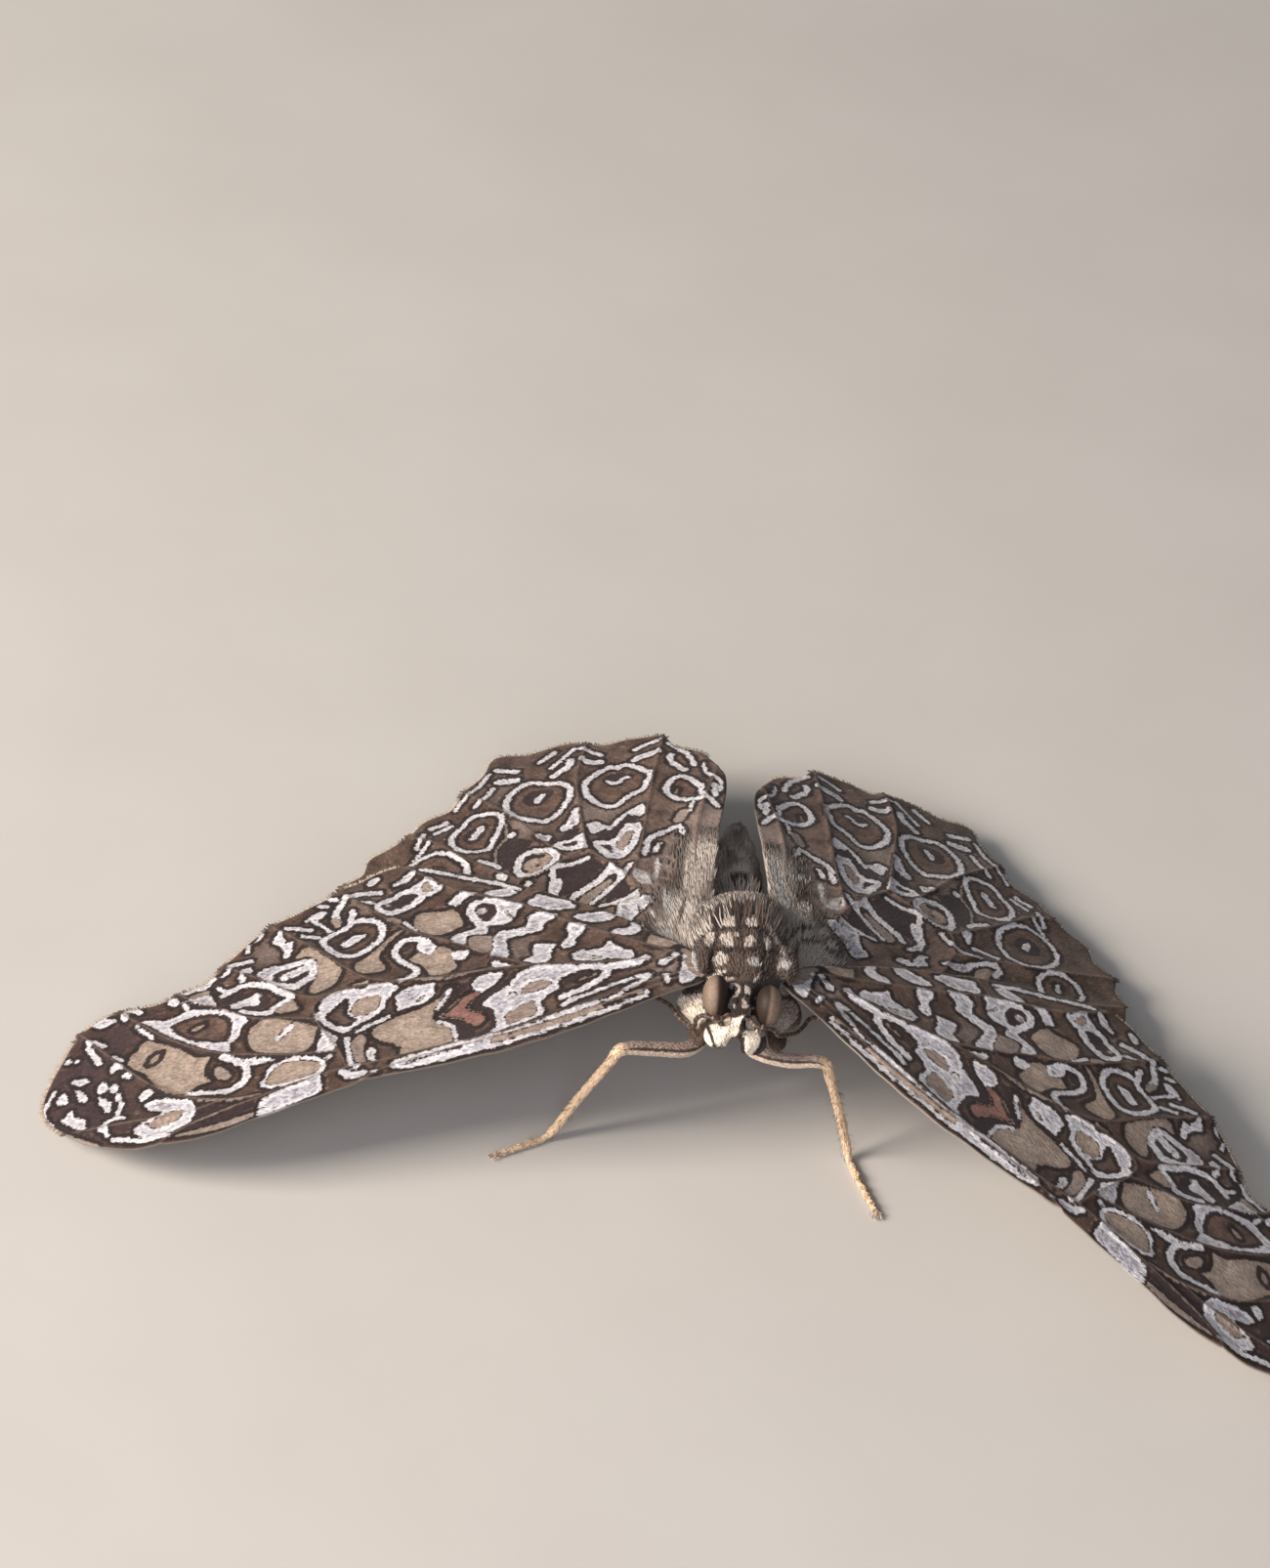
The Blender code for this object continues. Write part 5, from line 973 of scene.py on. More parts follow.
def dress_wings():
    fore_tones = {"deep": dab(FORE_NET[0], FORE_DEEP), "pale": dab(FORE_NET[0], FORE_PALE)}
    hind_tones = {"deep": dab(HIND_NET[0], HIND_DEEP), "pale": dab(HIND_NET[0], HIND_PALE)}
    fore_map = [uv_from(MAP_SCALE, (0.01, v), FORE_CORNER) for v in (0.005, 0.505)]
    hind_map = [
        uv_from(MAP_SCALE, (0.01, 0.01), HIND_CORNER), uv_from(UNDER_SCALE, (0.715, 0.01), HIND_CORNER),
    ]  # fmt: skip
    made = {}
    for name, side in SIDES.items():
        fore_pose, hind_pose = WING_POSE[name]
        fore_place = wing_place(side, FOREWING_ROOT, fore_pose, FOREWING_CAMBER)
        hind_place = wing_place(side, HINDWING_ROOT, hind_pose, HINDWING_CAMBER)
        made["forewing_" + name] = (fore_place, fore_map[0])
        made["hindwing_" + name] = (hind_place, hind_map[0])
        dress_wing(
            f"scaled_forewing_{name}", FORE_NET, fore_place, FORE_EDGES, fore_tones, *fore_map,
            FORE_SCALES, FORE_PHASE,
        )  # fmt: skip
        dress_wing(
            f"scaled_hindwing_{name}", HIND_NET, hind_place, HIND_EDGES, hind_tones, *hind_map,
            HIND_SCALES, HIND_PHASE,
        )  # fmt: skip
    return made


WINGS = dress_wings()
print("wings:", sorted(WINGS))

# %% [markdown]
# ## Body: one skin under the fur
# Head, thorax, abdomen and mouth feelers are joined into one closed skin, because on the animal the fur
# hides every joint between them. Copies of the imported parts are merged, bridged at the neck, the waist
# and the mouth by small spheres, remeshed into even faces and drawn in a little, to leave room for fur.

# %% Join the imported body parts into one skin
SKIN_VOXEL = 0.16
COAT = 0.14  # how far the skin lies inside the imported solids
BRIDGES = (  # centre and radius, before centring
    ((0.0, -0.75, 10.1), 1.45), ((0.05, 9.3, 6.6), 1.35), ((0.8, -2.85, 9.1), 0.72),
    ((-1.35, -2.5, 9.1), 0.72),
)  # fmt: skip


def select_only(*objects):
    bpy.ops.object.select_all(action="DESELECT")
    for obj in objects:
        obj.select_set(True)
    bpy.context.view_layer.objects.active = objects[-1]


def apply_modifier(obj, kind, **settings):
    """Adds one modifier and applies it, as its button would."""
    modifier = obj.modifiers.new(kind.lower(), kind)
    for name, value in settings.items():
        setattr(modifier, name, value)
    select_only(obj)
    bpy.ops.object.modifier_apply(modifier=modifier.name)


def unwrap(obj):
    """Unfolds a mesh onto its bake map, the only map that it keeps."""
    while obj.data.uv_layers:
        obj.data.uv_layers.remove(obj.data.uv_layers[0])
    obj.data.uv_layers.new(name="OFBake")
    select_only(obj)
    bpy.ops.object.mode_set(mode="EDIT")
    bpy.ops.mesh.select_all(action="SELECT")
    bpy.ops.uv.smart_project(angle_limit=math.radians(66), island_margin=0.004)
    bpy.ops.object.mode_set(mode="OBJECT")


BODY_NODES = ("head", "thorax", "abdomen", "palp_left", "palp_right")
copies = []
for node_name in BODY_NODES:
    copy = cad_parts[node_name].copy()
    copy.data = copy.data.copy()
    copy.parent = None
    bpy.context.scene.collection.objects.link(copy)
    copies.append(copy)
for centre, radius in BRIDGES:
    bpy.ops.mesh.primitive_uv_sphere_add(
        segments=24, ring_count=16, radius=radius * MM, location=tuple((np.array(centre) - CENTRE) * MM)
    )
    copies.append(bpy.context.object)
select_only(*copies)
bpy.ops.object.join()
skin = bpy.context.object
skin.name = "body_skin"
skin.data.name = "body_skin"
for key in list(skin.keys()):
    del skin[key]
bpy.ops.object.transform_apply(location=True, rotation=True, scale=True)
bpy.ops.object.mode_set(mode="EDIT")
bpy.ops.mesh.select_all(action="SELECT")
bpy.ops.mesh.remove_doubles(threshold=1e-6)
bpy.ops.object.mode_set(mode="OBJECT")
apply_modifier(skin, "REMESH", mode="VOXEL", voxel_size=SKIN_VOXEL * MM, adaptivity=0.0)
apply_modifier(skin, "SMOOTH", factor=0.5, iterations=6)
apply_modifier(skin, "DISPLACE", mid_level=0.0, strength=-COAT * MM)
apply_modifier(skin, "SMOOTH", factor=0.5, iterations=3)
bpy.ops.object.shade_smooth()
unwrap(skin)
print("skin:", len(skin.data.polygons), "faces")

# %% [markdown]
# ## Body: the marks
# The back carries rows of cream spots between dark lines, the crown small squiggles, and the face and
# mouth feelers broad cream fields. Patches of grey, fawn and white lie beside the thorax. They are all
# drawn on an enlarged view of the body from the camera's side, and each point of the skin looks
# up its place on that view. Fur uses the same marks.

# %% Body marks on an enlarged view
VIEW_CORNER = np.array((640.0, 880.0))  # place of the view in a picture 1300 wide
VIEW_ZOOM = 6.533
VIEW_UNIT = 1 / 108  # one unit of the view in millimetres
# Painted shade and light among these marks: the dark wedge between the mouth feelers (x 735 to 812) is
# painted shadow in the gap between them; the fawn patch on the far cheek (the last mark) is painted shade
# on a cheek that is cream like the near one; the white patches that start at 1150 310 and 1150 690 are
# painted light, whiter than their pale grey and grey-beige scales, against the shade on the far side.
BODY_MARKS = """
brown - 480 700 520 480 620 340 760 300 900 340 1000 480 1040 640 1020 760 900 800 760 810 600 800 500 780
dark 26 590 460 560 480 590 440 640 350 690 330 760 350
dark 30 600 470 690 440 760 455 830 440 890 460 940 480
dark 26 600 490 605 560 580 620 550 680 560 740 600 750
dark 30 620 600 680 610 740 600 800 610 900 590 980 620
dark 40 755 330 760 420 765 520
dark 26 560 830 620 790 680 770 760 775
dark 34 900 480 930 640 900 700 930 760
white - 640 370 690 350 730 365 730 410 740 440 700 450 650 445 610 455 625 410
white - 810 375 860 365 875 400 890 445 850 450 805 440
white - 540 500 575 480 600 490 595 540 575 580 540 580 525 545
white - 640 500 690 490 715 500 725 560 720 590 690 585 640 545 632 520
white 34 747 500
white - 810 510 850 505 875 530 865 560 830 585 800 590 798 550
white - 925 520 955 520 975 560 970 600 945 600 930 570
white - 570 680 600 650 640 622 690 650 695 685 650 705 600 725 580 700
grey - 810 680 850 655 890 665 915 715 860 720 820 710
white - 560 800 590 765 640 740 680 735 680 755 630 785 590 805 565 812
fawn - 665 785 720 785 735 800 700 812 670 805
white - 855 800 870 775 895 770 895 795 865 825 852 820
white 34 432 590 440 540 480 490 540 440 580 408
white 30 490 405 540 362 620 330 700 305
fawn 22 1060 640 1045 590 1010 540 985 490
dark - 640 830 700 815 800 815 900 830 930 880 920 960 890 1010 800 1020 690 1010 660 960 650 900
white 16 715 835 745 835 765 860 760 885 735 910 715 935 705 965
white 44 712 975
white 26 712 850
white - 795 850 815 845 835 870 838 895 815 900 798 880
fawn - 780 925 800 918 815 955 838 985 775 990 782 955
fawn 18 868 922 882 955 870 985 835 995
brown - 565 830 620 800 670 830 690 960 650 1040 570 1060 540 1000 560 900
dark - 640 1040 680 1000 760 1010 880 1010 905 1060 870 1050 800 1025 740 1045 665 1045
cream - 325 910 365 885 400 915 440 910 520 890 515 950 520 1020 540 1040 530 1070 490 1120 470 1125
 450 1080 400 1040 350 970
cream - 565 1105 620 1100 660 1110 665 1050 740 1055 800 1030 770 1090 750 1150 730 1210 715 1250 640 1255
 605 1250 590 1190 575 1140
tan - 575 1095 610 1060 645 1045 640 1075 620 1095
dark 24 545 1105 560 1150 580 1200 595 1255
cream - 505 1160 520 1130 545 1120 560 1170 575 1220 578 1255 550 1250 520 1215
dark - 750 1150 790 1050 812 1060 800 1120 790 1200 795 1330 735 1330 735 1200
cream - 805 1150 818 1045 870 1045 905 1110 908 1190 895 1260 855 1330 805 1335 798 1240
dark 22 900 1060 925 1130 925 1200 905 1260 860 1320
cream - 700 1270 720 1255 755 1265 755 1290 720 1295
grey - 370 620 420 600 450 595 470 630 485 700 510 760 500 800 450 840 410 860 380 850 345 825 390 770
 405 720 400 660
dark 30 340 850 390 870 440 870 520 840 545 780
fawn - 570 330 580 240 610 150 660 85 730 50 800 60 860 120 900 220 900 320 760 290 640 290
dark - 690 150 720 118 800 112 830 140 800 170 740 160 715 180
white 34 668 118 700 88 755 64 800 74 835 104
brown 26 880 150 900 220 890 290
grey 20 640 260 650 190 690 150
grey 18 810 250 800 190 820 150
white 16 575 -30 620 -50 665 -60
grey 26 600 60 625 0 660 -30
white 16 560 110 590 40 610 10
grey 24 850 -50 880 0 900 60
white 14 880 -60 920 0 950 40
grey 22 735 -210 758 -205
grey 18 690 -130 700 -180
white 12 700 -60 730 -75
grey 16 790 -90 812 -40
white - 1080 540 1180 545 1245 555 1220 595 1150 598 1140 565 1090 565
white - 1150 310 1245 300 1232 380 1235 440 1200 500 1110 500 1130 400
white - 1150 690 1200 610 1290 600 1400 670 1500 700 1400 715 1330 740 1320 790 1260 790 1210 720
white - 1320 570 1370 545 1440 590 1420 620 1340 610
white 24 1300 560 1292 512 1340 482
grey 50 985 60 1030 200 1070 380
grey 30 1100 140 1180 130 1270 150
brown - 1130 250 1190 195 1270 215 1280 280 1200 310 1150 290
fawn 28 960 440 1000 520 1010 560
dark 24 1060 500 1140 512 1230 500
dark 26 1130 800 1250 815 1340 790 1510 725
dark 22 1100 640 1180 600 1280 590
white 22 878 288 905 245 928 208
grey - 262 210 300 200 312 280 338 330 335 410 270 400 252 300
white - 190 470 260 460 350 465 345 500 290 505 255 490
grey - 125 580 200 590 235 540 340 510 350 570 330 600 240 640 130 615
white 26 425 355 428 420
fawn 26 428 290 470 160 540 20
white 16 405 200 410 60 420 0
fawn 18 500 240 530 120 580 30
brown - 225 70 300 50 390 90 380 170 300 190 240 150
brown 20 372 480 385 400 402 330
grey - 1020 710 1050 655 1110 690 1115 705 1075 745 1010 745
grey - 1030 820 1070 810 1105 850 1095 905 1050 910 1020 870
fawn - 895 1190 1000 1160 1090 1120 1160 1040 1150 960 1060 930 1000 960 965 1040 915 1120
"""


def on_view(places):
    """Where model places, in millimetres, fall on the enlarged view, in millimetres there."""
    offset = places - EYE_POINT
    depth = offset @ AIM[2]
    focal = LENS / SENSOR * PICTURE[0]
    across = PICTURE[0] / 2 + focal * (offset @ AIM[0]) / depth
    down = PICTURE[1] / 2 - focal * (offset @ AIM[1]) / depth
    return (np.column_stack((across, down)) - VIEW_CORNER) * VIEW_ZOOM * VIEW_UNIT


def body_values(places, normals):
    """The marks and the broad tones of the body at these places."""
    edges = paint(on_view(places), BODY_MARKS, VIEW_UNIT)
    facing = np.clip(normals @ -AIM[2] * 4 + 0.6, 0, 1)
    values = {finish: edge * facing + REACH * (1 - facing) for finish, edge in edges.items()}
    x, y, z = (places + CENTRE).T
    below = np.clip((8.6 - z) / 1.6, 0, 1) * np.clip((9.5 - y) / 2, 0, 1)
    values["under"] = below * np.clip(0.4 - normals[:, 2], 0, 1) ** 0.5
    values["mane"] = np.clip((y - 4.6 + 0.4 * np.abs(x)) / 1.4, 0, 1)
    # Pale streaks. On the abdomen (y beyond 9) they are stronger: partly its own pale strokes, partly
    # painted light against the shade between the wings.
    streak_and_painted_light = np.sin(3.4 * x + 0.8 * np.sin(1.1 * y)) * np.cos(0.8 * y + 0.9 * x) + 0.3 * (y > 9.0)
    values["streak_and_painted_light"] = np.clip(0.45 + 0.5 * streak_and_painted_light, 0, 1)
    return values


def mesh_arrays(obj):
    """The points, in millimetres, and the normals of a mesh as arrays."""
    mesh = obj.data
    points = np.empty(len(mesh.vertices) * 3)
    mesh.vertices.foreach_get("co", points)
    normals = np.empty(len(mesh.vertices) * 3)
    mesh.vertices.foreach_get("normal", normals)
    return points.reshape(-1, 3) / MM, normals.reshape(-1, 3)


skin_points, skin_normals = mesh_arrays(skin)
skin_values = body_values(skin_points, skin_normals)
for value_name, values in skin_values.items():
    add_values(skin, value_name, values)
add_values(skin, "strand", np.full(len(skin_points), 0.35))
print("skin marks:", len(marks_in(BODY_MARKS)))

# %% [markdown]
# ## Finish: body fur and flat hair
# Butterfly fur is made of long flat scales. Each strand has one tone, a little lighter to its tip, so
# the coat looks streaked and dry, with no gloss. Skin and fur share one finish.


# %% The body finish
def body_finish(name):
    material, tree, shader = new_finish(name, 0.8, 0.2)
    where = object_place(tree)
    wander = maths(tree, "MULTIPLY_ADD", noise(tree, where, 1400.0), 0.14, -0.07)
    strand = read(tree, "strand")
    colour = mixed(tree, strand, "#3a302b", "#5f5148")
    # Pale streaks, made paler on the abdomen and on the hindwing fur in shade as painted light.
    streaked = mixed(tree, read(tree, "streak_and_painted_light"), mixed(tree, strand, "#50443d", "#776a62"), "#b3a89e")
    colour = mixed(tree, read(tree, "mane"), colour, streaked)
    colour = mixed(tree, read(tree, "under"), colour, mixed(tree, strand, "#a8957f", "#e9ddcb"))
    for finish, low, high in (
        ("brown", "#40332b", "#604f45"), ("fawn", "#82726a", "#bdb0a6"), ("grey", "#7b7672", "#bcb8b6"),
        ("tan", "#a07c69", "#bf9a86"), ("dark", "#211713", "#3c2d26"), ("white", "#988d83", "#cdc2b8"),
        ("cream", "#d9c7b0", "#fff4e2"),
    ):  # fmt: skip
        share = ramp(tree, maths(tree, "ADD", read(tree, finish), wander), 0.05, -0.05)
        colour = mixed(tree, share, colour, mixed(tree, strand, low, high))
    tree.links.new(colour, shader.inputs["Base Color"])
    lay = add_node(tree, "ShaderNodeMapping", {"Vector": where, "Scale": (9000.0, 2200.0, 6000.0)})
    fibres = noise(tree, lay.outputs[0], 1.0, 2.0)
    set_bump(tree, shader, fibres, 0.5, 0.00006)
    shader.inputs["Sheen Weight"].default_value = 0.12
    shader.inputs["Sheen Roughness"].default_value = 0.5
    return material


FUR_FINISH = body_finish("flat_hair_and_body_scales")
skin.data.materials.clear()
skin.data.materials.append(FUR_FINISH)
skin.data.polygons.foreach_set("material_index", [0] * len(skin.data.polygons))
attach(skin, "root")
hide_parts(*BODY_NODES)
print("body finish ready")

# %% [markdown]
# ## Fur
# Each strand is a closed three-sided blade that leaves the skin at a slant and bends to lie along it.
# It is modelled once as a row of widths and heights, then copied with its own place, lie, length and
# tone. Long grey fur streams back over the hindwing bases, and short flat hair carries the cream spots.

# %% Grow strands
SEED = np.random.default_rng(7)


def unit(vectors):
    return vectors / np.maximum(np.linalg.norm(vectors, axis=1, keepdims=True), 1e-9)


def grow(name, roots, normals, lie, length, width, rise, values, uv, finish, contrast=0.6):
    """One mesh of strands. Rise is how steeply they leave the skin; each keeps its root's bake place."""
    count = len(roots)
    lie = unit(lie - (lie * normals).sum(1)[:, None] * normals)
    across = np.cross(normals, lie)
    rows = ((0.0, -0.06, 0.8), (0.38, 0.75, 1.0), (0.74, 1.0, 0.66))  # share along, share of rise, width
    rings = []
    for along, height, wide in rows:
        middle = roots + lie * (length * along)[:, None] + normals * (length * rise * height)[:, None]
        half = (width * wide / 2)[:, None]
        rings += [middle + across * half, middle - across * half, middle + normals * half * 0.7]
    tip = roots + lie * length[:, None] + normals * (length * rise * 0.92)[:, None]
    points = np.stack((*rings, tip), 1).reshape(-1, 3)
    points[:, 2] = np.maximum(points[:, 2], FLOOR_GAP)
    one = [(0, 1, 2)]
    for low in (0, 3):
        for k in range(3):
            n = (k + 1) % 3
            one += [(low + k, low + 3 + k, low + 3 + n), (low + k, low + 3 + n, low + n)]
    one += [(6, 9, 7), (7, 9, 8), (8, 9, 6)]
    faces = (np.array(one)[None] + 10 * np.arange(count)[:, None, None]).reshape(-1, 3)
    obj = add_mesh(name, points, faces, finish)
    for value_name, numbers in values.items():
        add_values(obj, value_name, np.repeat(numbers, 10))
    tone = 0.5 + contrast * (SEED.beta(1.6, 1.9, count) - 0.5)
    tone = np.clip(tone[:, None] + np.array([-0.12] * 3 + [0.0] * 3 + [0.1] * 4), 0, 1)
    add_values(obj, "strand", tone.ravel())
    corner = np.tile(np.array(((0.0, 0.0), (1.0, 0.0), (0.5, 1.0))), (len(faces), 1))
    patch = np.repeat(uv, 3 * len(one), axis=0) + (corner - 0.4) * 0.003
    bake = obj.data.uv_layers.new(name="OFBake")
    bake.data.foreach_set("uv", np.clip(patch, 0.001, 0.999).astype(np.float32).ravel())
    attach(obj, "root")
    print(name, count, "strands,", len(faces), "triangles")


def scatter(obj, count, keep):
    """Random places on a mesh: place, normal and bake place, thinned by keep."""
    mesh = obj.data
    mesh.calc_loop_triangles()
    corners = np.array([tri.vertices for tri in mesh.loop_triangles])
    loops = np.array([tri.loops for tri in mesh.loop_triangles])
    points, normals = mesh_arrays(obj)
    uv = np.empty(len(mesh.loops) * 2)
    mesh.uv_layers["OFBake"].data.foreach_get("uv", uv)
    uv = uv.reshape(-1, 2)
    a, b, c = (points[corners[:, k]] for k in range(3))
    area = np.linalg.norm(np.cross(b - a, c - a), axis=1) * keep((a + b + c) / 3)
    chosen = SEED.choice(len(corners), count, p=area / area.sum())
    share = SEED.dirichlet((1, 1, 1), count)
    place = sum(points[corners[chosen, k]] * share[:, k : k + 1] for k in range(3))
    normal = unit(sum(normals[corners[chosen, k]] * share[:, k : k + 1] for k in range(3)))
    baked = sum(uv[loops[chosen, k]] * share[:, k : k + 1] for k in range(3))
    return place, normal, baked


def lie_of(places):
    """Which way fur lies: back and outwards on the trunk, forwards on the face and mouth feelers."""
    x, y, _ = (places + CENTRE).T
    back = np.column_stack((0.14 * x, np.ones(len(x)), -0.05 * np.ones(len(x))))
    face = np.column_stack((-0.15 * x, -np.ones(len(x)), 0.15 * np.ones(len(x))))
    share = np.clip((-1.9 - y) / 1.0, 0, 1)[:, None]
    return back * (1 - share) + face * share


print("strand tools ready")

# %% Fur on the trunk, the head and the abdomen
THIN = 1
MARK_AT = 0.45  # how far along a strand its place among the marks is taken


def in_eye(places):
    """Whether fur here would stand in an eye."""
    inside = np.zeros(len(places), bool)
    for name in SIDES:
        low, high = (np.array(corner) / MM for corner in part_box("eye_" + name))
        inside |= (((places - (low + high) / 2) / (0.55 * (high - low))) ** 2).sum(1) < 1.0
    return inside


def fur(name, count, keep, length, width, rise, spread):
    """A coat on part of the skin, with a random spread in length and lie."""
    place, normal, baked = scatter(skin, count // THIN, keep)
    lie = lie_of(place) + SEED.normal(0, spread, place.shape)
    size = length(place) * SEED.uniform(0.7, 1.25, len(place))
    middle = place + unit(lie) * (MARK_AT * size)[:, None]
    grow(
        name, place, normal, lie, size, np.full(len(place), width) * SEED.uniform(0.75, 1.3, len(place)),
        rise, body_values(middle, normal), baked, FUR_FINISH,
    )  # fmt: skip


def on_trunk(places):
    y = (places + CENTRE)[:, 1]
    return ((y > -0.9) & (y < 9.3) & ~in_eye(places)).astype(float)


def on_head(places):
    y = (places + CENTRE)[:, 1]
    return ((y <= -0.6) & ~in_eye(places)).astype(float)


def on_abdomen(places):
    return ((places + CENTRE)[:, 1] >= 8.8).astype(float)


def on_mane(places):
    x, y, z = (places + CENTRE).T
    return np.clip((y - 3.4 + 0.35 * np.abs(x)) / 1.5, 0, 1) * (y < 12.5) * np.clip((z - 6.5) / 1.5, 0, 1)


def same(length):
    return lambda places: np.full(len(places), length)


def longer_outwards(places):
    return 1.5 + 0.12 * np.abs(places[:, 0])


fur("trunk_hair", 12000, on_trunk, same(0.32), width=0.12, rise=0.11, spread=0.06)
fur("head_hair", 12000, on_head, same(0.22), width=0.095, rise=0.1, spread=0.06)
fur("abdomen_hair", 8500, on_abdomen, same(0.75), width=0.1, rise=0.16, spread=0.12)
fur("mane", 6500, on_mane, longer_outwards, width=0.09, rise=0.17, spread=0.1)

# %% [markdown]
# The fur on the hindwing bases grows on the wing itself. It streams outwards from the trunk, beside the
# abdomen, and gets shorter and thinner towards the patterned part. Pale streaks run lengthwise through
# it, made paler on the side that lies in shade as painted light, and it takes the body's marks where it
# lies next to the body.


# %% Fur on the hindwing bases
def fading(distance, start, width):
    """1 up to the start, then a soft fall over the width."""
    return np.exp(-((np.clip(distance - start, 0, 99) / width) ** 2))


def reach_of(spots):
    """How far places on the flat hindwing are from where the fur starts."""
    return np.hypot(spots[:, 0] - 1.0, spots[:, 1] - 0.5)


# Painted light: the fur on the left hindwing, which lies in shade, is given paler streaks.
SHADE_LIFT = 0.6  # more pale streaks on the side that lies in shade
FUR_ROOT = 0.12  # height of the fur's roots above the middle of the wing


def wing_fur(side_name, count):
    """Fur on one hindwing, thick at the root and along the inner margin, with the marks of the body."""
    place_of, map_of = WINGS["hindwing_" + side_name]
    spots = np.column_stack((SEED.uniform(0.3, 12.5, 6 * count), SEED.uniform(-11, 5, 6 * count)))
    spots = spots[is_inside(spots, smooth_line(pairs(HINDWING_OUTLINE), True, 1.0))]
    inner = -0.98 * spots[:, 0] - 0.2 - spots[:, 1]  # below zero on the outer side of the inner margin
    reach = reach_of(spots)
    at_root = fading(reach, 3.4, 2.8) * fading(-inner, 2.2, 2.0)
    at_margin = 0.9 * fading(-inner, 1.0, 1.3) * np.clip((13.6 - reach) / 3.0, 0, 1)
    odds = np.maximum(at_root, at_margin)
    grown = SEED.uniform(0, 1, len(spots)) < odds
    spots, odds = spots[grown][: count // THIN], odds[grown][: count // THIN]
    heading = np.arctan2(spots[:, 1] - 1.6, spots[:, 0] + 0.8)
    angle = heading * 0.62 - 0.3 + SEED.normal(0, 0.07, len(spots))
    ahead = np.column_stack((np.cos(angle), np.sin(angle)))
    roots = place_of(spots, FUR_ROOT)
    lie = place_of(spots + 0.1 * ahead, FUR_ROOT) - roots
    normals = unit(place_of(spots, 0.4) - roots)
    reach = reach_of(spots)
    length = np.clip(2.5 - 0.12 * reach, 0.9, 2.5) * SEED.uniform(0.6, 1.2, len(spots)) * (0.5 + 0.5 * odds)
    streak_and_painted_light = 0.45 + 0.6 * np.sin(7.0 * heading + 0.6 * np.sin(0.9 * reach))
    streak_and_painted_light += 0.4 * np.sin(19.0 * heading + 0.4 * reach)
    # Paler near the root, and paler still on the left side as painted light against its shade.
    streak_and_painted_light += 0.35 * (reach < 3.5) + (SHADE_LIFT if side_name == "left" else 0.0)
    values = body_values(roots + unit(lie) * (MARK_AT * length)[:, None], normals)
    values["under"] = 0 * reach
    values["mane"] = np.clip(1.5 * odds - 0.35, 0.1, 1)
    values["streak_and_painted_light"] = np.clip(streak_and_painted_light, 0, 1)
    grow(
        "hindwing_fur_" + side_name, roots, normals, lie, length, SEED.uniform(0.075, 0.14, len(spots)),
        0.07, values, map_of(spots), FUR_FINISH, 0.45,
    )  # fmt: skip


for name in SIDES:
    wing_fur(name, 6500)

# %% [markdown]
# ## Fringe
# A row of long scales stands out from the edge of each wing, pale between the veins and brown where a
# vein ends. They are grown like the fur, two at each place of the net's rim, on the outer edge only.


# %% The fringe of the wings
def fringe_finish():
    material, tree, shader = new_finish("wing_fringe_scales", 0.8, 0.2)
    strand = read(tree, "strand")
    brown, pale = mixed(tree, strand, "#3f3029", "#66544a"), mixed(tree, strand, "#85786c", "#b5a99c")
    tree.links.new(mixed(tree, read(tree, "light"), brown, pale), shader.inputs["Base Color"])
    return material


FRINGE_FINISH = fringe_finish()
FRINGE_ROOT = 2.6  # no fringe nearer the body than this


def add_fringe(wing, net, phase):
    """Two long scales at each place of the free edge of a wing."""
    place_of, map_of = WINGS[wing]
    flat, _, count, vein = net
    rim = flat[:count]
    ahead = unit(np.roll(rim, -1, 0) - np.roll(rim, 1, 0))
    outward = np.column_stack((ahead[:, 1], -ahead[:, 0]))
    height = sheet_relief(rim, vein[:count], phase)
    free = (outward[:, 1] < 0.55) & (outward.sum(1) > -1.15) & (rim[:, 0] > FRINGE_ROOT)
    rim, outward, ahead, height = (
        np.repeat(values[free], 2, axis=0) for values in (rim, outward, ahead, height)
    )  # fmt: skip
    total = len(rim)
    rim = rim + ahead * SEED.uniform(-0.5, 0.5, total)[:, None] * NET
    roots = place_of(rim - 0.1 * outward, height)
    on_rim = place_of(rim, height)
    lie = place_of(rim + outward + SEED.normal(0, 0.16, total)[:, None] * ahead, height) - on_rim
    normals = unit(place_of(rim, height + 1.0) - on_rim)
    light = np.clip((np.repeat(vein[:count][free], 2) - 0.35) / 0.4, 0, 1)
    grow(
        "fringe_of_" + wing, roots, normals, lie, SEED.uniform(0.32, 0.5, total), np.full(total, 1.1 * NET),
        SEED.uniform(-0.06, 0.06, total), {"light": light}, map_of(rim), FRINGE_FINISH,
    )  # fmt: skip


for name in SIDES:
    add_fringe("forewing_" + name, FORE_NET, FORE_PHASE)
    add_fringe("hindwing_" + name, HIND_NET, HIND_PHASE)

# %% [markdown]
# ## Eyes
# A compound eye is a smooth dome of thousands of tiny lenses. A sphere is stretched to the imported eye,
# and the lenses are a fine raised net. Living cracker eyes are tan with brown bands, half matt. Towards
# the inner side, where the eye turns in to the head, the bands are painted darker and the inner rim near
# black: painted shade.


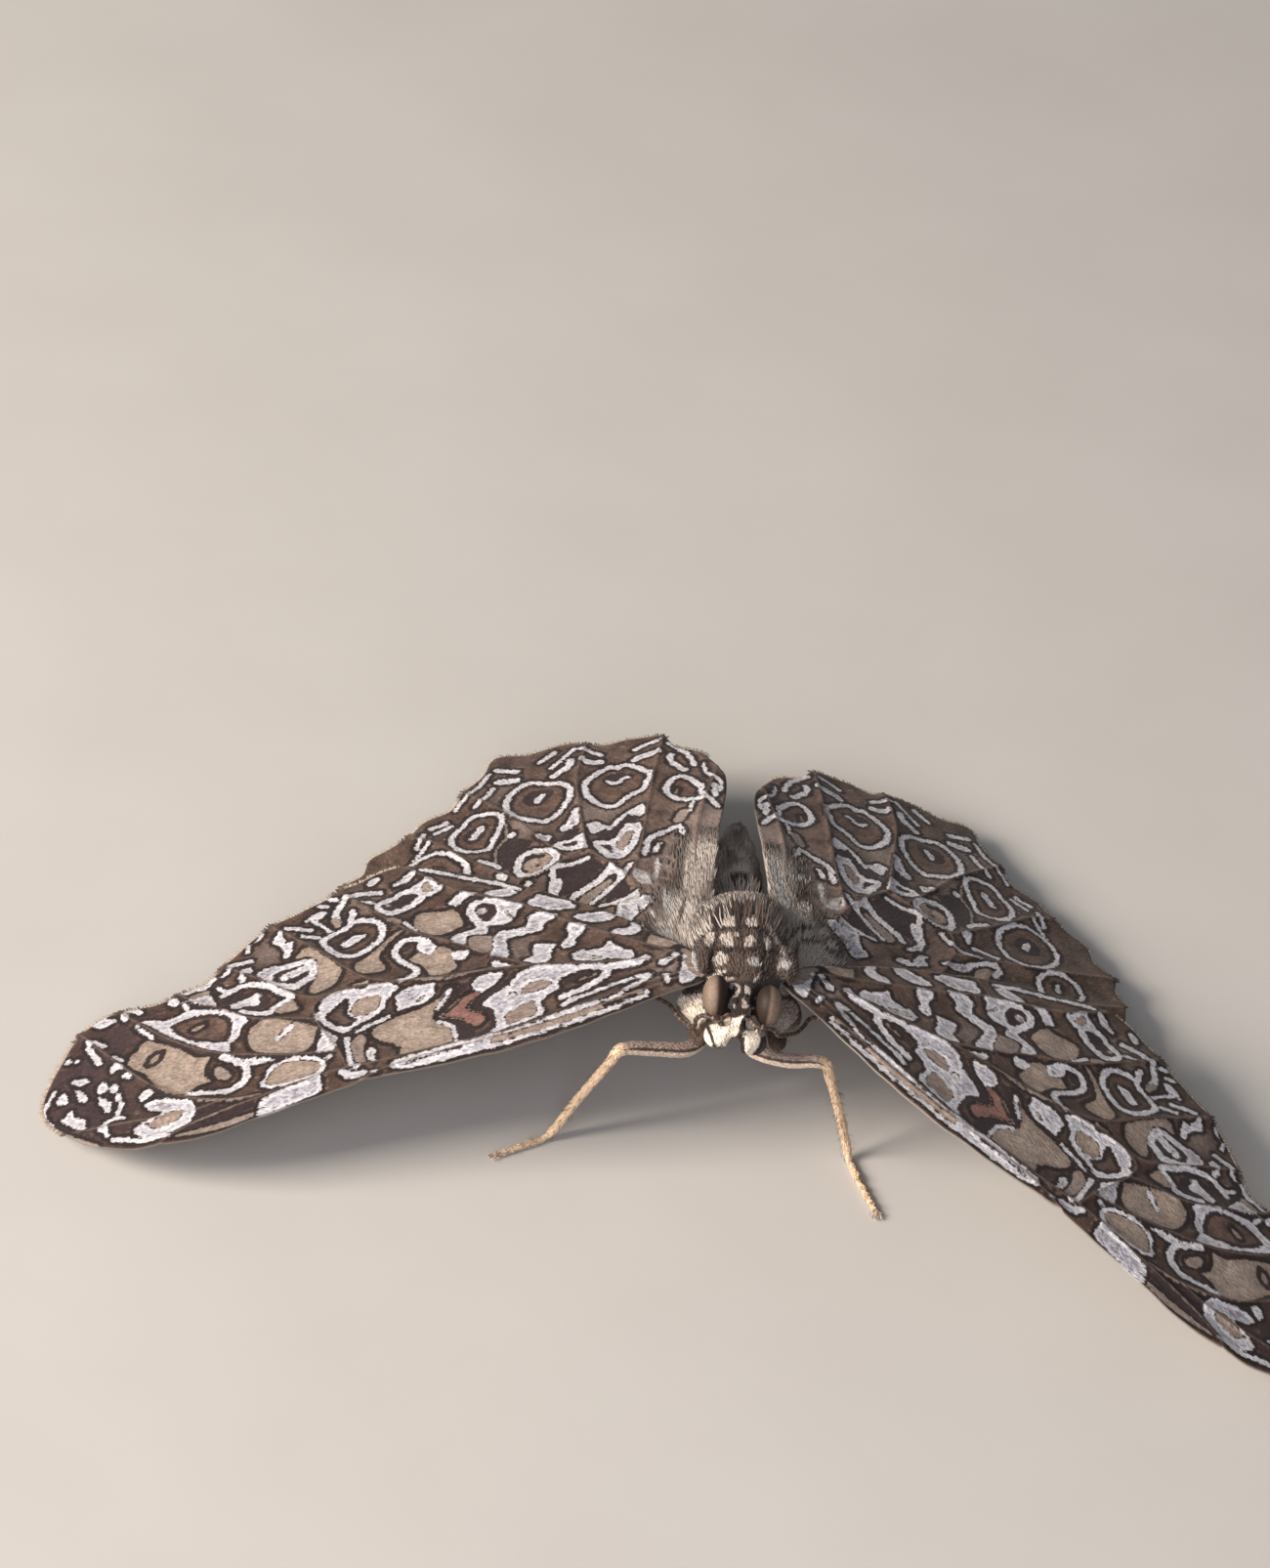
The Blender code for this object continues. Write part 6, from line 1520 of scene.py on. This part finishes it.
# %% The eyes
def eye_finish():
    material, tree, shader = new_finish("compound_eye_lenses", 0.58, 0.28)
    where = object_place(tree)
    lenses = add_node(tree, "ShaderNodeTexVoronoi", {"Vector": where, "Scale": 11000.0})
    # The bands run by how far a place faces inwards, darkest on the inner side: painted shade where the eye
    # turns in to the head.
    moved = maths(tree, "MULTIPLY_ADD", noise(tree, where, 900.0, 3.0), 0.16, read(tree, "inward"))
    bands = add_node(tree, "ShaderNodeValToRGB", {0: moved})
    stops = ((0.0, "#6e5c4e"), (0.2, "#8a7667"), (0.5, "#7c6859"), (0.66, "#4c3b33"), (0.9, "#2f241f"))
    while len(bands.color_ramp.elements) < len(stops):
        bands.color_ramp.elements.new(0.5)
    for element, (at, colour) in zip(bands.color_ramp.elements, stops):
        element.position = at
        element.color = linear(colour)
    lens_tone = mixed(tree, cell_tone(tree, lenses), "#404040", "#c0c0c0")
    colour = mixed(tree, 0.3, bands.outputs[0], lens_tone, "OVERLAY")
    # The inner rim is painted near black, as shade where the eye meets the head.
    tree.links.new(mixed(tree, read(tree, "rim"), colour, "#2c2019"), shader.inputs["Base Color"])
    height = lenses.outputs["Distance"]
    set_bump(tree, shader, height, 0.4, 0.00003)
    return material


EYE_FINISH = eye_finish()
for name, side in SIDES.items():
    low, high = (np.array(corner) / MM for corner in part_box("eye_" + name))
    bpy.ops.object.select_all(action="DESELECT")
    bpy.ops.mesh.primitive_uv_sphere_add(segments=56, ring_count=36, radius=1.0)
    eye = bpy.context.object
    eye.name = "lensed_eye_" + name
    eye.scale = tuple((high - low) / 2 * MM)
    eye.location = tuple((low + high) / 2 * MM)
    bpy.ops.object.transform_apply(location=True, rotation=True, scale=True)
    bpy.ops.object.shade_smooth()
    points, normals = mesh_arrays(eye)
    # Painted shade: inward grows towards the head's middle line, darkening that side of the eye, and rim
    # marks the inner edge, which is painted near black.
    add_values(eye, "inward", 0.4 - 0.5 * side * normals[:, 0] + 0.15 * normals[:, 2])
    add_values(eye, "rim", np.clip((-0.05 - side * normals[:, 0]) / 0.25, 0, 1))
    eye.data.materials.append(EYE_FINISH)
    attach(eye, "root")
    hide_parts("eye_" + name)
print("eyes placed")

# %% [markdown]
# ## Legs and feelers
# A leg has a stout thigh, a thin shin and a foot of five joints with two claws. The front pair is small
# and folded on the chest. A feeler is a thread of rings that ends in a club. Each is a curve through the
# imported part's own points, made thick and thin along its length and then turned into a mesh.


# %% Paths of the legs and feelers
MIDLEG = {  # x, y, z and radius, from the body to the claws
    "right": """
-1.3 2 7 .5 -1.8 -.1 6.4 .48 -2.8 -1.8 6.5 .44 -4.8 -2.6 7 .42 -6.7 -3.3 7.4 .36 -7.4 -3.4 6.2 .28
-9 -3.4 2.9 .26 -9.9 -3.5 .9 .25 -10.7 -3.95 .2 .22 -12 -4.75 .2 .2 -13.1 -5.4 .2 .16
""",
    "left": """
1.3 2 7 .5 .95 .2 6.3 .48 1.1 -1.2 6.3 .44 2.9 -2.1 6.55 .42 4.9 -2.75 7.25 .36 5.5 -2.8 6.2 .28
6.6 -2.7 2.9 .26 7.2 -2.8 .9 .25 7.5 -3.6 .2 .22 8.1 -5.4 .2 .2 8.9 -7.4 .2 .16
""",
}
HINDLEG = """
1.2 5.2 6.6 .5 2.6 6.2 5.3 .46 4.2 7.6 5.4 .44 5.6 8.8 5.4 .36 6.2 9.5 4.5 .28 7.6 11 2.4 .26
8.7 12.2 .9 .25 9.3 13 .2 .22 10.3 14.6 .2 .2 11.2 16.2 .2 .16
"""
FORELEG = """
1.8 .5 7.6 .34 1.9 -.6 7.65 .34 2 -1.5 7.7 .31 2.1 -1.95 7.55 .27 2.45 -1.8 7.4 .25 2.65 -1.2 7.4 .2
"""
FOOT_JOINTS = (0.0, 0.42, 0.6, 0.75, 0.88, 1.0)  # where the five joints of a foot end
FOOT_LEVEL = 0.45  # a path that ends lower than this has a foot on the floor
FORELEG_KNEE = 1.9  # how far along the folded foreleg its thigh ends
CHEST_REACH = 2.0  # how far along a leg the body ends


def run_along(line):
    """How far along a line each of its points lies."""
    steps = np.linalg.norm(np.diff(line[:, :3], axis=0), axis=1)
    return np.concatenate(((0.0,), np.cumsum(steps)))


def path_of(text, side):
    """Fine points along a leg, each with its radius, and how far along it they are."""
    corners = np.array(text.split(), float).reshape(-1, 4) * (side, 1, 1, 1)
    line = smooth_line(corners, False, 0.14)
    return line, run_along(line)


def shape_foot(line, run):
    """Swells the end of each joint of the foot, and keeps the foot on the floor."""
    low = line[:, 2] < FOOT_LEVEL
    start = run[low][0]
    share = np.clip((run - start) / (run[-1] - start), 0, 0.999)
    joint = np.searchsorted(FOOT_JOINTS, share, side="right") - 1
    ends = np.array(FOOT_JOINTS)
    inner = (share - ends[joint]) / (ends[joint + 1] - ends[joint])
    line[low, 3] *= (0.78 + 0.34 * inner**2)[low]
    line[:, 2] = np.maximum(line[:, 2], line[:, 3] + FLOOR_GAP)
    return np.where(low, inner, 0.0), low


def tube(name, line, sides=3):
    """A round closed tube along points with radii, made from a curve with a bevel."""
    curve = bpy.data.curves.new(name, "CURVE")
    curve.dimensions = "3D"
    curve.bevel_depth = MM
    curve.bevel_resolution = sides
    curve.use_fill_caps = True
    spline = curve.splines.new("POLY")
    spline.points.add(len(line) - 1)
    for point, (x, y, z, radius) in zip(spline.points, line):
        point.co = (*((np.array((x, y, z)) - CENTRE) * MM), 1.0)
        point.radius = radius
    obj = bpy.data.objects.new(name, curve)
    bpy.context.scene.collection.objects.link(obj)
    select_only(obj)
    bpy.ops.object.convert(target="MESH")
    bpy.ops.object.mode_set(mode="EDIT")
    bpy.ops.mesh.select_all(action="SELECT")
    bpy.ops.mesh.remove_doubles(threshold=1e-6)
    bpy.ops.mesh.normals_make_consistent(inside=False)
    bpy.ops.object.mode_set(mode="OBJECT")
    bpy.ops.object.shade_smooth()
    return obj


def nearest_on(line, points):
    """For each point, the index of the nearest place on a path."""
    return np.argmin(np.linalg.norm(points[:, None] - (line[None, :, :3] - CENTRE), axis=2), axis=1)


print("leg tools ready")

# %% [markdown]
# ## Finish: legs and feelers
# The thigh is pinkish brown with a cream line along its lower edge and a dark groove between. The shin
# and foot are tan, darker at the joints, and the folded forelegs are dark brown. Everything is dusted
# with small scales.


# %% The finishes of the legs and feelers
def leg_finish():
    material, tree, shader = new_finish("scaled_legs", 0.6, 0.35)
    where = object_place(tree)
    grain = noise(tree, where, 1500.0)
    strand = read(tree, "strand")
    side = maths(tree, "MULTIPLY_ADD", grain, 0.24, read(tree, "side"))
    upper, lower = mixed(tree, strand, "#8a766b", "#b3a093"), mixed(tree, strand, "#bfaa95", "#ead9c4")
    thigh = mixed(tree, ramp(tree, side, -0.16, -0.3), upper, lower)
    groove = maths(tree, "MULTIPLY", ramp(tree, side, -0.24, -0.12), ramp(tree, side, 0.26, 0.12))
    thigh = mixed(tree, groove, thigh, "#54423a")
    shin = mixed(tree, strand, "#c2a587", "#ead0b2")
    shin = mixed(tree, ramp(tree, grain, 0.5, 0.75), shin, "#a98e72")
    colour = mixed(tree, read(tree, "thigh"), shin, thigh)
    colour = mixed(tree, read(tree, "joint"), colour, "#4b382a")
    colour = mixed(tree, read(tree, "foreleg"), colour, mixed(tree, strand, "#3c2e27", "#6b5748"))
    tree.links.new(colour, shader.inputs["Base Color"])
    set_bump(tree, shader, grain, 0.5, 0.00004)
    return material


def feeler_finish():
    material, tree, shader = new_finish("ringed_feelers", 0.5, 0.4)
    where = object_place(tree)
    grain = noise(tree, where, 2500.0)
    colour = mixed(tree, grain, "#2b1f1a", "#4d3b32")
    colour = mixed(tree, ramp(tree, read(tree, "ring"), 0.76, 0.88), colour, "#8f7a6a")
    colour = mixed(tree, read(tree, "base"), colour, mixed(tree, grain, "#8a6b5b", "#b59683"))
    colour = mixed(tree, read(tree, "club"), colour, mixed(tree, grain, "#5e3420", "#8f5a38"))
    tree.links.new(colour, shader.inputs["Base Color"])
    set_bump(tree, shader, grain, 0.4, 0.00003)
    return material


LEG_FINISH = leg_finish()
FEELER_FINISH = feeler_finish()
print("leg and feeler finishes ready")

# %% [markdown]
# Claws are small hooked tubes joined to the foot. Scales and spines are strands, as in the fur: scales
# lie flat along the leg, and the spines of the shin and foot stand off it.


# %% The legs
CLAW = (  # ahead of the foot, aside, up, and radius
    (0.0, 0.05, 0.06, 0.07), (0.22, 0.14, 0.05, 0.055), (0.4, 0.16, -0.02, 0.035),
    (0.48, 0.12, -0.08, 0.015),
)  # fmt: skip


def claws(line):
    """Two hooked claws at the end of a foot."""
    tip, before = line[-1, :3], line[-6, :3]
    ahead = (tip - before) / np.linalg.norm(tip - before)
    aside = np.cross(ahead, (0, 0, 1))
    made = []
    for way in (-1, 1):
        points = [(*(tip + ahead * a + aside * way * b + (0, 0, c)), r) for a, b, c, r in CLAW]
        made.append(tube("claw", smooth_line(np.array(points), False, 0.06), 1))
    return made


SPINE_SHARE = 0.07  # of the scales below the knee


def leg_values(obj, line, run, knee, inner, on_foot):
    """Numbers for the leg's material at each point."""
    points, _ = mesh_arrays(obj)
    near = nearest_on(line, points)
    out = unit(points + CENTRE - line[near, :3])
    thigh = (run[near] < knee).astype(float)
    gap = np.exp(-(((run[near] - knee) / 0.2) ** 2))
    joint = np.maximum(gap * 0.5, np.where(on_foot[near], np.clip(inner[near] - 0.85, 0, 1) * 5, 0))
    return {"thigh": thigh, "side": out @ AIM[1], "joint": np.clip(joint, 0, 1)}


def leg_hair(name, obj, line, run, knee, count):
    """Flat scales along the leg, and spines on the shin and foot."""
    place, normal, baked = scatter(obj, count // THIN, lambda p: np.ones(len(p)))
    near = nearest_on(line, place)
    along = np.gradient(line[:, :3], axis=0)[near]
    on_shin = run[near] > knee
    spine = on_shin & (SEED.uniform(0, 1, len(near)) < SPINE_SHARE) & (place[:, 2] > 0.2)
    folded = np.full(len(near), float(line[-1, 2] > FOOT_LEVEL))
    values = {
        "thigh": (~on_shin).astype(float), "side": normal @ AIM[1], "joint": 0.85 * spine,
        "foreleg": folded,
    }  # fmt: skip
    length = np.where(spine, 0.34, 0.26) * SEED.uniform(0.8, 1.2, len(near))
    lie = unit(along) + SEED.normal(0, 0.08, place.shape)
    grow(
        "scales_of_" + name, place - 0.02 * normal, normal, lie, length, np.where(spine, 0.045, 0.085),
        np.where(spine, 0.75, 0.13), values, baked, LEG_FINISH,
    )  # fmt: skip


def make_leg(node_name, text, side, count):
    """One leg from its path: a tube with claws, or a folded foreleg, and its scales and spines."""
    line, run = path_of(text, side)
    standing = line[-1, 2] < FOOT_LEVEL
    knee = FORELEG_KNEE
    inner, on_foot = np.zeros(len(run)), np.zeros(len(run), bool)
    if standing:
        inner, on_foot = shape_foot(line, run)
        knee = run[np.argmax(np.where(run > CHEST_REACH, line[:, 2], 0))]  # the highest place past the body
    leg = tube("scaled_" + node_name, line)
    if standing:
        select_only(*claws(line), leg)
        bpy.ops.object.join()
    unwrap(leg)
    leg.data.materials.append(LEG_FINISH)
    for value_name, numbers in leg_values(leg, line, run, knee, inner, on_foot).items():
        add_values(leg, value_name, numbers)
    add_values(leg, "strand", np.full(len(leg.data.vertices), 0.4))
    add_values(leg, "foreleg", np.full(len(leg.data.vertices), float(not standing)))
    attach(leg, "root")
    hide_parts(node_name)
    leg_hair(node_name, leg, line, run, knee, count)


for name, side in SIDES.items():
    make_leg("midleg_" + name, MIDLEG[name], 1, 2600)
    make_leg("hindleg_" + name, HINDLEG, side, 2200)
    make_leg("foreleg_" + name, FORELEG, side, 700)
print("legs placed")


# %% The feelers
HEAD_TURN = 9.0  # degrees about the neck
NECK_Y = -0.9
FEELER_START = """
.6 -2.9 10.4 .95 -3.6 10.6 1.45 -3.75 10.65 2.05 -3.45 10.4 2.4 -3.1 9.7 2.75 -2.65 9.1 3.25 -1.95 8.65
3.7 -1.2 8.5 4.1 -.5 8.55
"""
FEELER_TURNED = 5  # the first points turn with the head
FEELER_UNDER_WING = "3.6 -1.4 7.5 -.4 11.5 .2 14.5 .4"
FEELER_DROP = 1.05
RING_LENGTH = 0.46
CLUB_LENGTH = 3.5
THREAD_RADIUS = 0.13
CLUB_SWELL = 0.24  # how much thicker the club is than the thread


def feeler_line(name, side):
    """Fine points of a feeler with radii: head, bend, and the run under the wing to the club."""
    start = np.array(FEELER_START.split(), float).reshape(-1, 3) * (side, 1, 1)
    angle = math.radians(-HEAD_TURN)
    x, y = start[:FEELER_TURNED, 0], start[:FEELER_TURNED, 1] - NECK_Y
    start[:FEELER_TURNED, 0], start[:FEELER_TURNED, 1] = (
        x * math.cos(angle) - y * math.sin(angle), x * math.sin(angle) + y * math.cos(angle) + NECK_Y,
    )  # fmt: skip
    under = WINGS["forewing_" + name][0](pairs(FEELER_UNDER_WING), -FEELER_DROP) + CENTRE
    line = smooth_line(smooth_line(np.vstack((start, under)), False, 0.8), False, 0.07)
    run = run_along(line)
    club = np.clip((run - run[-1] + CLUB_LENGTH) / (0.7 * CLUB_LENGTH), 0, 1)
    club = club * club * (3 - 2 * club)
    ring = (run / RING_LENGTH) % 1.0
    end = np.sqrt(np.clip((run[-1] - run + 0.02) / 0.5, 0, 1))
    radius = (THREAD_RADIUS + CLUB_SWELL * club) * (0.92 + 0.1 * np.sin(np.pi * ring)) * end
    return np.column_stack((line, radius)), run, ring, club


for name, side in SIDES.items():
    line, run, ring, club = feeler_line(name, side)
    feeler = tube("ringed_antenna_" + name, line)
    unwrap(feeler)
    feeler.data.materials.append(FEELER_FINISH)
    near = nearest_on(line, mesh_arrays(feeler)[0])
    add_values(feeler, "ring", ring[near])
    add_values(feeler, "base", np.clip((0.8 - run[near]) / 0.3, 0, 1))
    add_values(feeler, "club", np.clip((run[near] - run[-1] + 1.4) / 0.8, 0, 1))
    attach(feeler, "root")
    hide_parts("antenna_" + name)
print("feelers placed")

# %% Finish
low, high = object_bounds()
